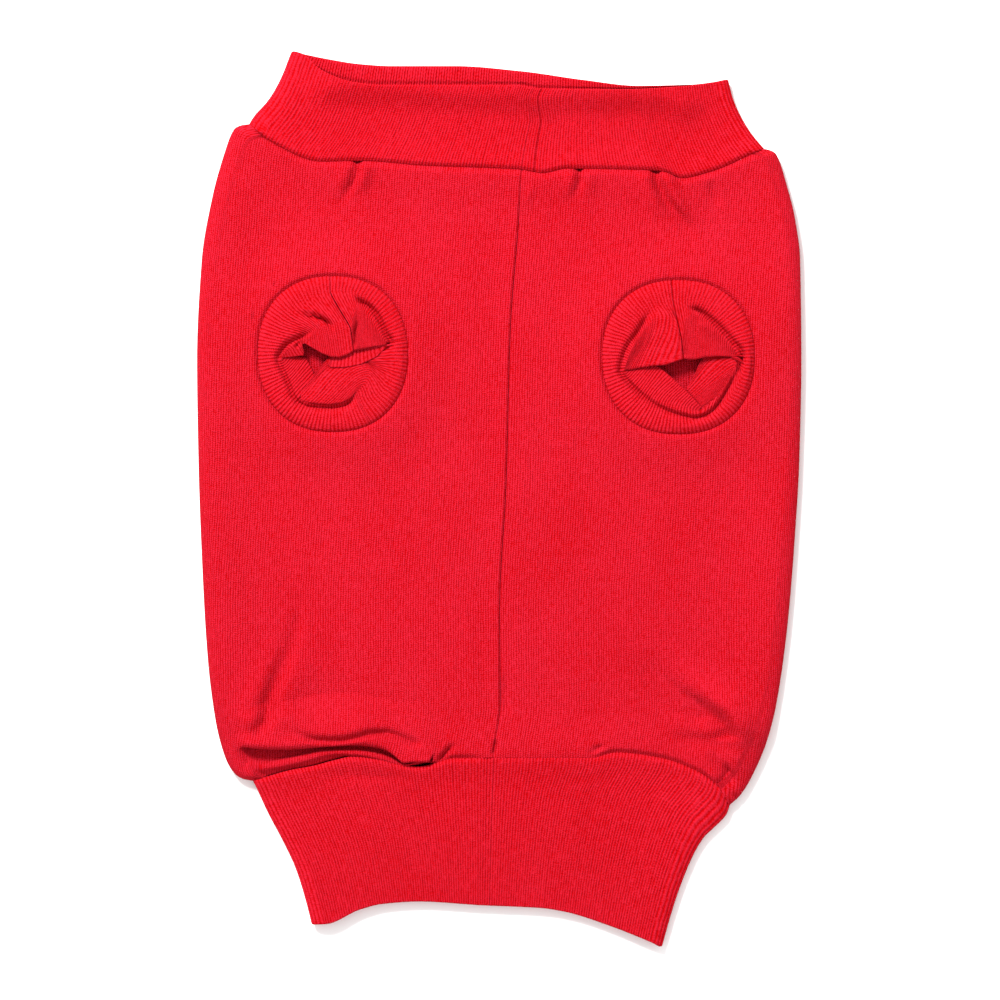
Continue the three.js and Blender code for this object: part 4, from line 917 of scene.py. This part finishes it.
def add_node(tree, kind, inputs=None, **settings):
    """A node with its settings; an input is a value, or another node's output that is linked to it."""
    node = tree.nodes.new(kind)
    for key, value in settings.items():
        setattr(node, key, value)
    for key, value in (inputs or {}).items():
        if isinstance(value, bpy.types.NodeSocket):
            tree.links.new(value, node.inputs[key])
        else:
            node.inputs[key].default_value = value
    return node


def sum_node(tree, operation, a, b=0.0, c=0.0):
    """Arithmetic on up to three values, each a number or another node's output."""
    return add_node(tree, "ShaderNodeMath", {0: a, 1: b, 2: c}, operation=operation).outputs[0]


def knit_material(name, pale, deep, wale, course, relief, stitch, sway):
    """Cotton knit. Columns of stitches wale wide stand beside one another, each |sin| high, and wander a
    little by sway; along them the stitches, course high, are uneven and come in broken streaks. relief and
    stitch are the heights of a column and of a stitch. The colour runs from deep to pale with that height:
    deep is painted shade in the valleys between columns and stitches, pale painted highlight on their
    crests and raised fibres."""
    material = bpy.data.materials.new(name)
    material.use_nodes = True
    tree = material.node_tree
    shader = tree.nodes["Principled BSDF"]
    place = add_node(tree, "ShaderNodeUVMap", uv_map="knit").outputs[0]

    def noise(stretch, detail, shift=0.0):
        """Noise whose grain is stretch millimetres across and along the knit."""
        scaled = add_node(tree, "ShaderNodeMapping", {"Vector": place, "Location": (shift, shift, 0),
                                                      "Scale": (1 / stretch[0], 1 / stretch[1], 1)})
        return add_node(tree, "ShaderNodeTexNoise", {"Vector": scaled.outputs[0], "Scale": 1.0,
                                                     "Detail": detail, "Roughness": 0.6}).outputs[0]

    parts = add_node(tree, "ShaderNodeSeparateXYZ", {0: place})
    u, v = parts.outputs[0], parts.outputs[1]
    wander = sum_node(tree, "MULTIPLY", noise(WANDER_GRAIN, 2.0), sway)
    column = sum_node(tree, "MULTIPLY_ADD", u, np.pi / wale, wander)
    crest = sum_node(tree, "ABSOLUTE", sum_node(tree, "SINE", column))
    which = sum_node(tree, "FLOOR", sum_node(tree, "DIVIDE", column, np.pi))
    phase = add_node(tree, "ShaderNodeTexWhiteNoise", {1: which}, noise_dimensions="1D").outputs[0]
    lean = sum_node(tree, "MULTIPLY_ADD", sum_node(tree, "COSINE", column), 1.2,
                    sum_node(tree, "MULTIPLY", phase, 5.0))
    row = sum_node(tree, "MULTIPLY_ADD", v, 2 * np.pi / course,
                   sum_node(tree, "MULTIPLY_ADD", wander, 2.0, lean))
    height = sum_node(tree, "MULTIPLY_ADD", sum_node(tree, "SINE", row), stitch,
                      sum_node(tree, "MULTIPLY", crest, relief))
    uneven = sum_node(tree, "ADD", noise(FIBRE_GRAIN, 1.5, 40.0), noise(STREAK_GRAIN, 2.0, 90.0))
    height = sum_node(tree, "MULTIPLY_ADD", uneven, FUZZ, height)
    # The colour follows the knit's height: painted shade in the valleys between columns and stitches, and
    # painted highlight on their crests and raised fibres. The broad patches and streaks of yarn add random
    # tone of their own.
    tone_and_shade = sum_node(tree, "MULTIPLY_ADD", noise(PATCH_GRAIN, 3.0), PATCHES, height)
    middle = FUZZ + MEAN_CREST * relief + PATCHES / 2
    tone_and_shade = sum_node(tree, "MULTIPLY_ADD", tone_and_shade, SHADE_CONTRAST, 0.5 - SHADE_CONTRAST * middle)
    ramp = add_node(tree, "ShaderNodeMix", {0: tone_and_shade, 6: linear(deep), 7: linear(pale)}, data_type="RGBA")
    tree.links.new(ramp.outputs[2], shader.inputs["Base Color"])
    bump = add_node(tree, "ShaderNodeBump", {"Height": height, "Distance": KNIT_DEPTH, "Strength": 0.9})
    tree.links.new(bump.outputs[0], shader.inputs["Normal"])
    shader.inputs["Roughness"].default_value = 0.95
    shader.inputs["Specular IOR Level"].default_value = 0.04
    shader.inputs["Sheen Weight"].default_value = 0.015
    shader.inputs["Sheen Roughness"].default_value = 0.5
    shader.inputs["Sheen Tint"].default_value = linear("#FF5A5A")
    return material


def plain_material(name, colour):
    """A matt finish of one colour."""
    material = bpy.data.materials.new(name)
    material.use_nodes = True
    shader = material.node_tree.nodes["Principled BSDF"]
    shader.inputs["Base Color"].default_value = linear(colour)
    shader.inputs["Roughness"].default_value = 0.9
    return material


# ---- stage ----
def area_light(name, place, size, power):
    """A round light, size metres across, aimed at the origin."""
    light = bpy.data.objects.new(name, bpy.data.lights.new(name, "AREA"))
    light.data.shape = "DISK"
    light.data.size = size
    light.data.energy = power
    light.location = place
    light.rotation_euler = (-Vector(place)).to_track_quat("-Z", "Y").to_euler()
    bpy.context.collection.objects.link(light)


def studio():
    """A pale floor under the cloth, an even white surround and one broad soft light from the upper left."""
    mesh = bpy.data.meshes.new("floor")
    half = 3.0
    corners = [(-half, -half, 0), (half, -half, 0), (half, half, 0), (-half, half, 0)]
    mesh.from_pydata(corners, [], [(0, 1, 2, 3)])
    mesh.materials.append(plain_material("white_paper", "#FBFBFB"))
    floor = bpy.data.objects.new("floor", mesh)
    floor.location.z = -0.0002  # clear of the flat underside
    bpy.context.collection.objects.link(floor)
    world = bpy.data.worlds.new("World")
    bpy.context.scene.world = world
    world.use_nodes = True
    surround = world.node_tree.nodes["Background"]
    surround.inputs["Color"].default_value = (1, 1, 1, 1)
    surround.inputs["Strength"].default_value = 1.05
    area_light("window", (-0.6, 1.1, 1.3), 0.5, 58)
    bpy.context.scene.view_settings.view_transform = "Standard"


def camera():
    """Straight down over the garment, far off so that its height hardly shifts its outline."""
    distance, view = 3.0, 0.36  # metres; view is how wide a stretch of floor it takes in
    data = bpy.data.cameras.new("camera")
    data.sensor_width = 36.0
    data.lens = data.sensor_width * distance / view
    eye = bpy.data.objects.new("camera", data)
    eye.location = (0.0002, -0.0005, distance)
    bpy.context.collection.objects.link(eye)
    bpy.context.scene.camera = eye


camera()
studio()
# Cotton sweatshirt knit, brushed: matt, with raised fibres that blur its columns of stitches. Cotton rib,
# one column out and one in: as matt but plainer, because its ribs stand in the mesh. WALE and COURSE are
# drawn coarse enough to show.
# In each knit the pale colour is painted highlight on crests and fibres, and the deep one is painted shade
# in the valleys.
brushed_jersey = knit_material("red_brushed_jersey", "#B4192C", "#9E0004", WALE, COURSE, 0.8, 0.22, 2.6)
band_rib = knit_material("red_rib_knit", "#B61729", "#A00004", BAND_PITCH, COURSE, 0.8, 0.14, 1.0)
cuff_rib = knit_material("red_cuff_rib", "#B6192A", "#A00004", CUFF_PITCH, COURSE, 0.7, 0.14, 0.8)
shirt = body(brushed_jersey)
neck = neck_band(band_rib)
waist = waistband(band_rib)
cuffs = [leg_cuff(node, node.replace("leg", "rib_leg"), cuff_rib) for node in CUFFS]
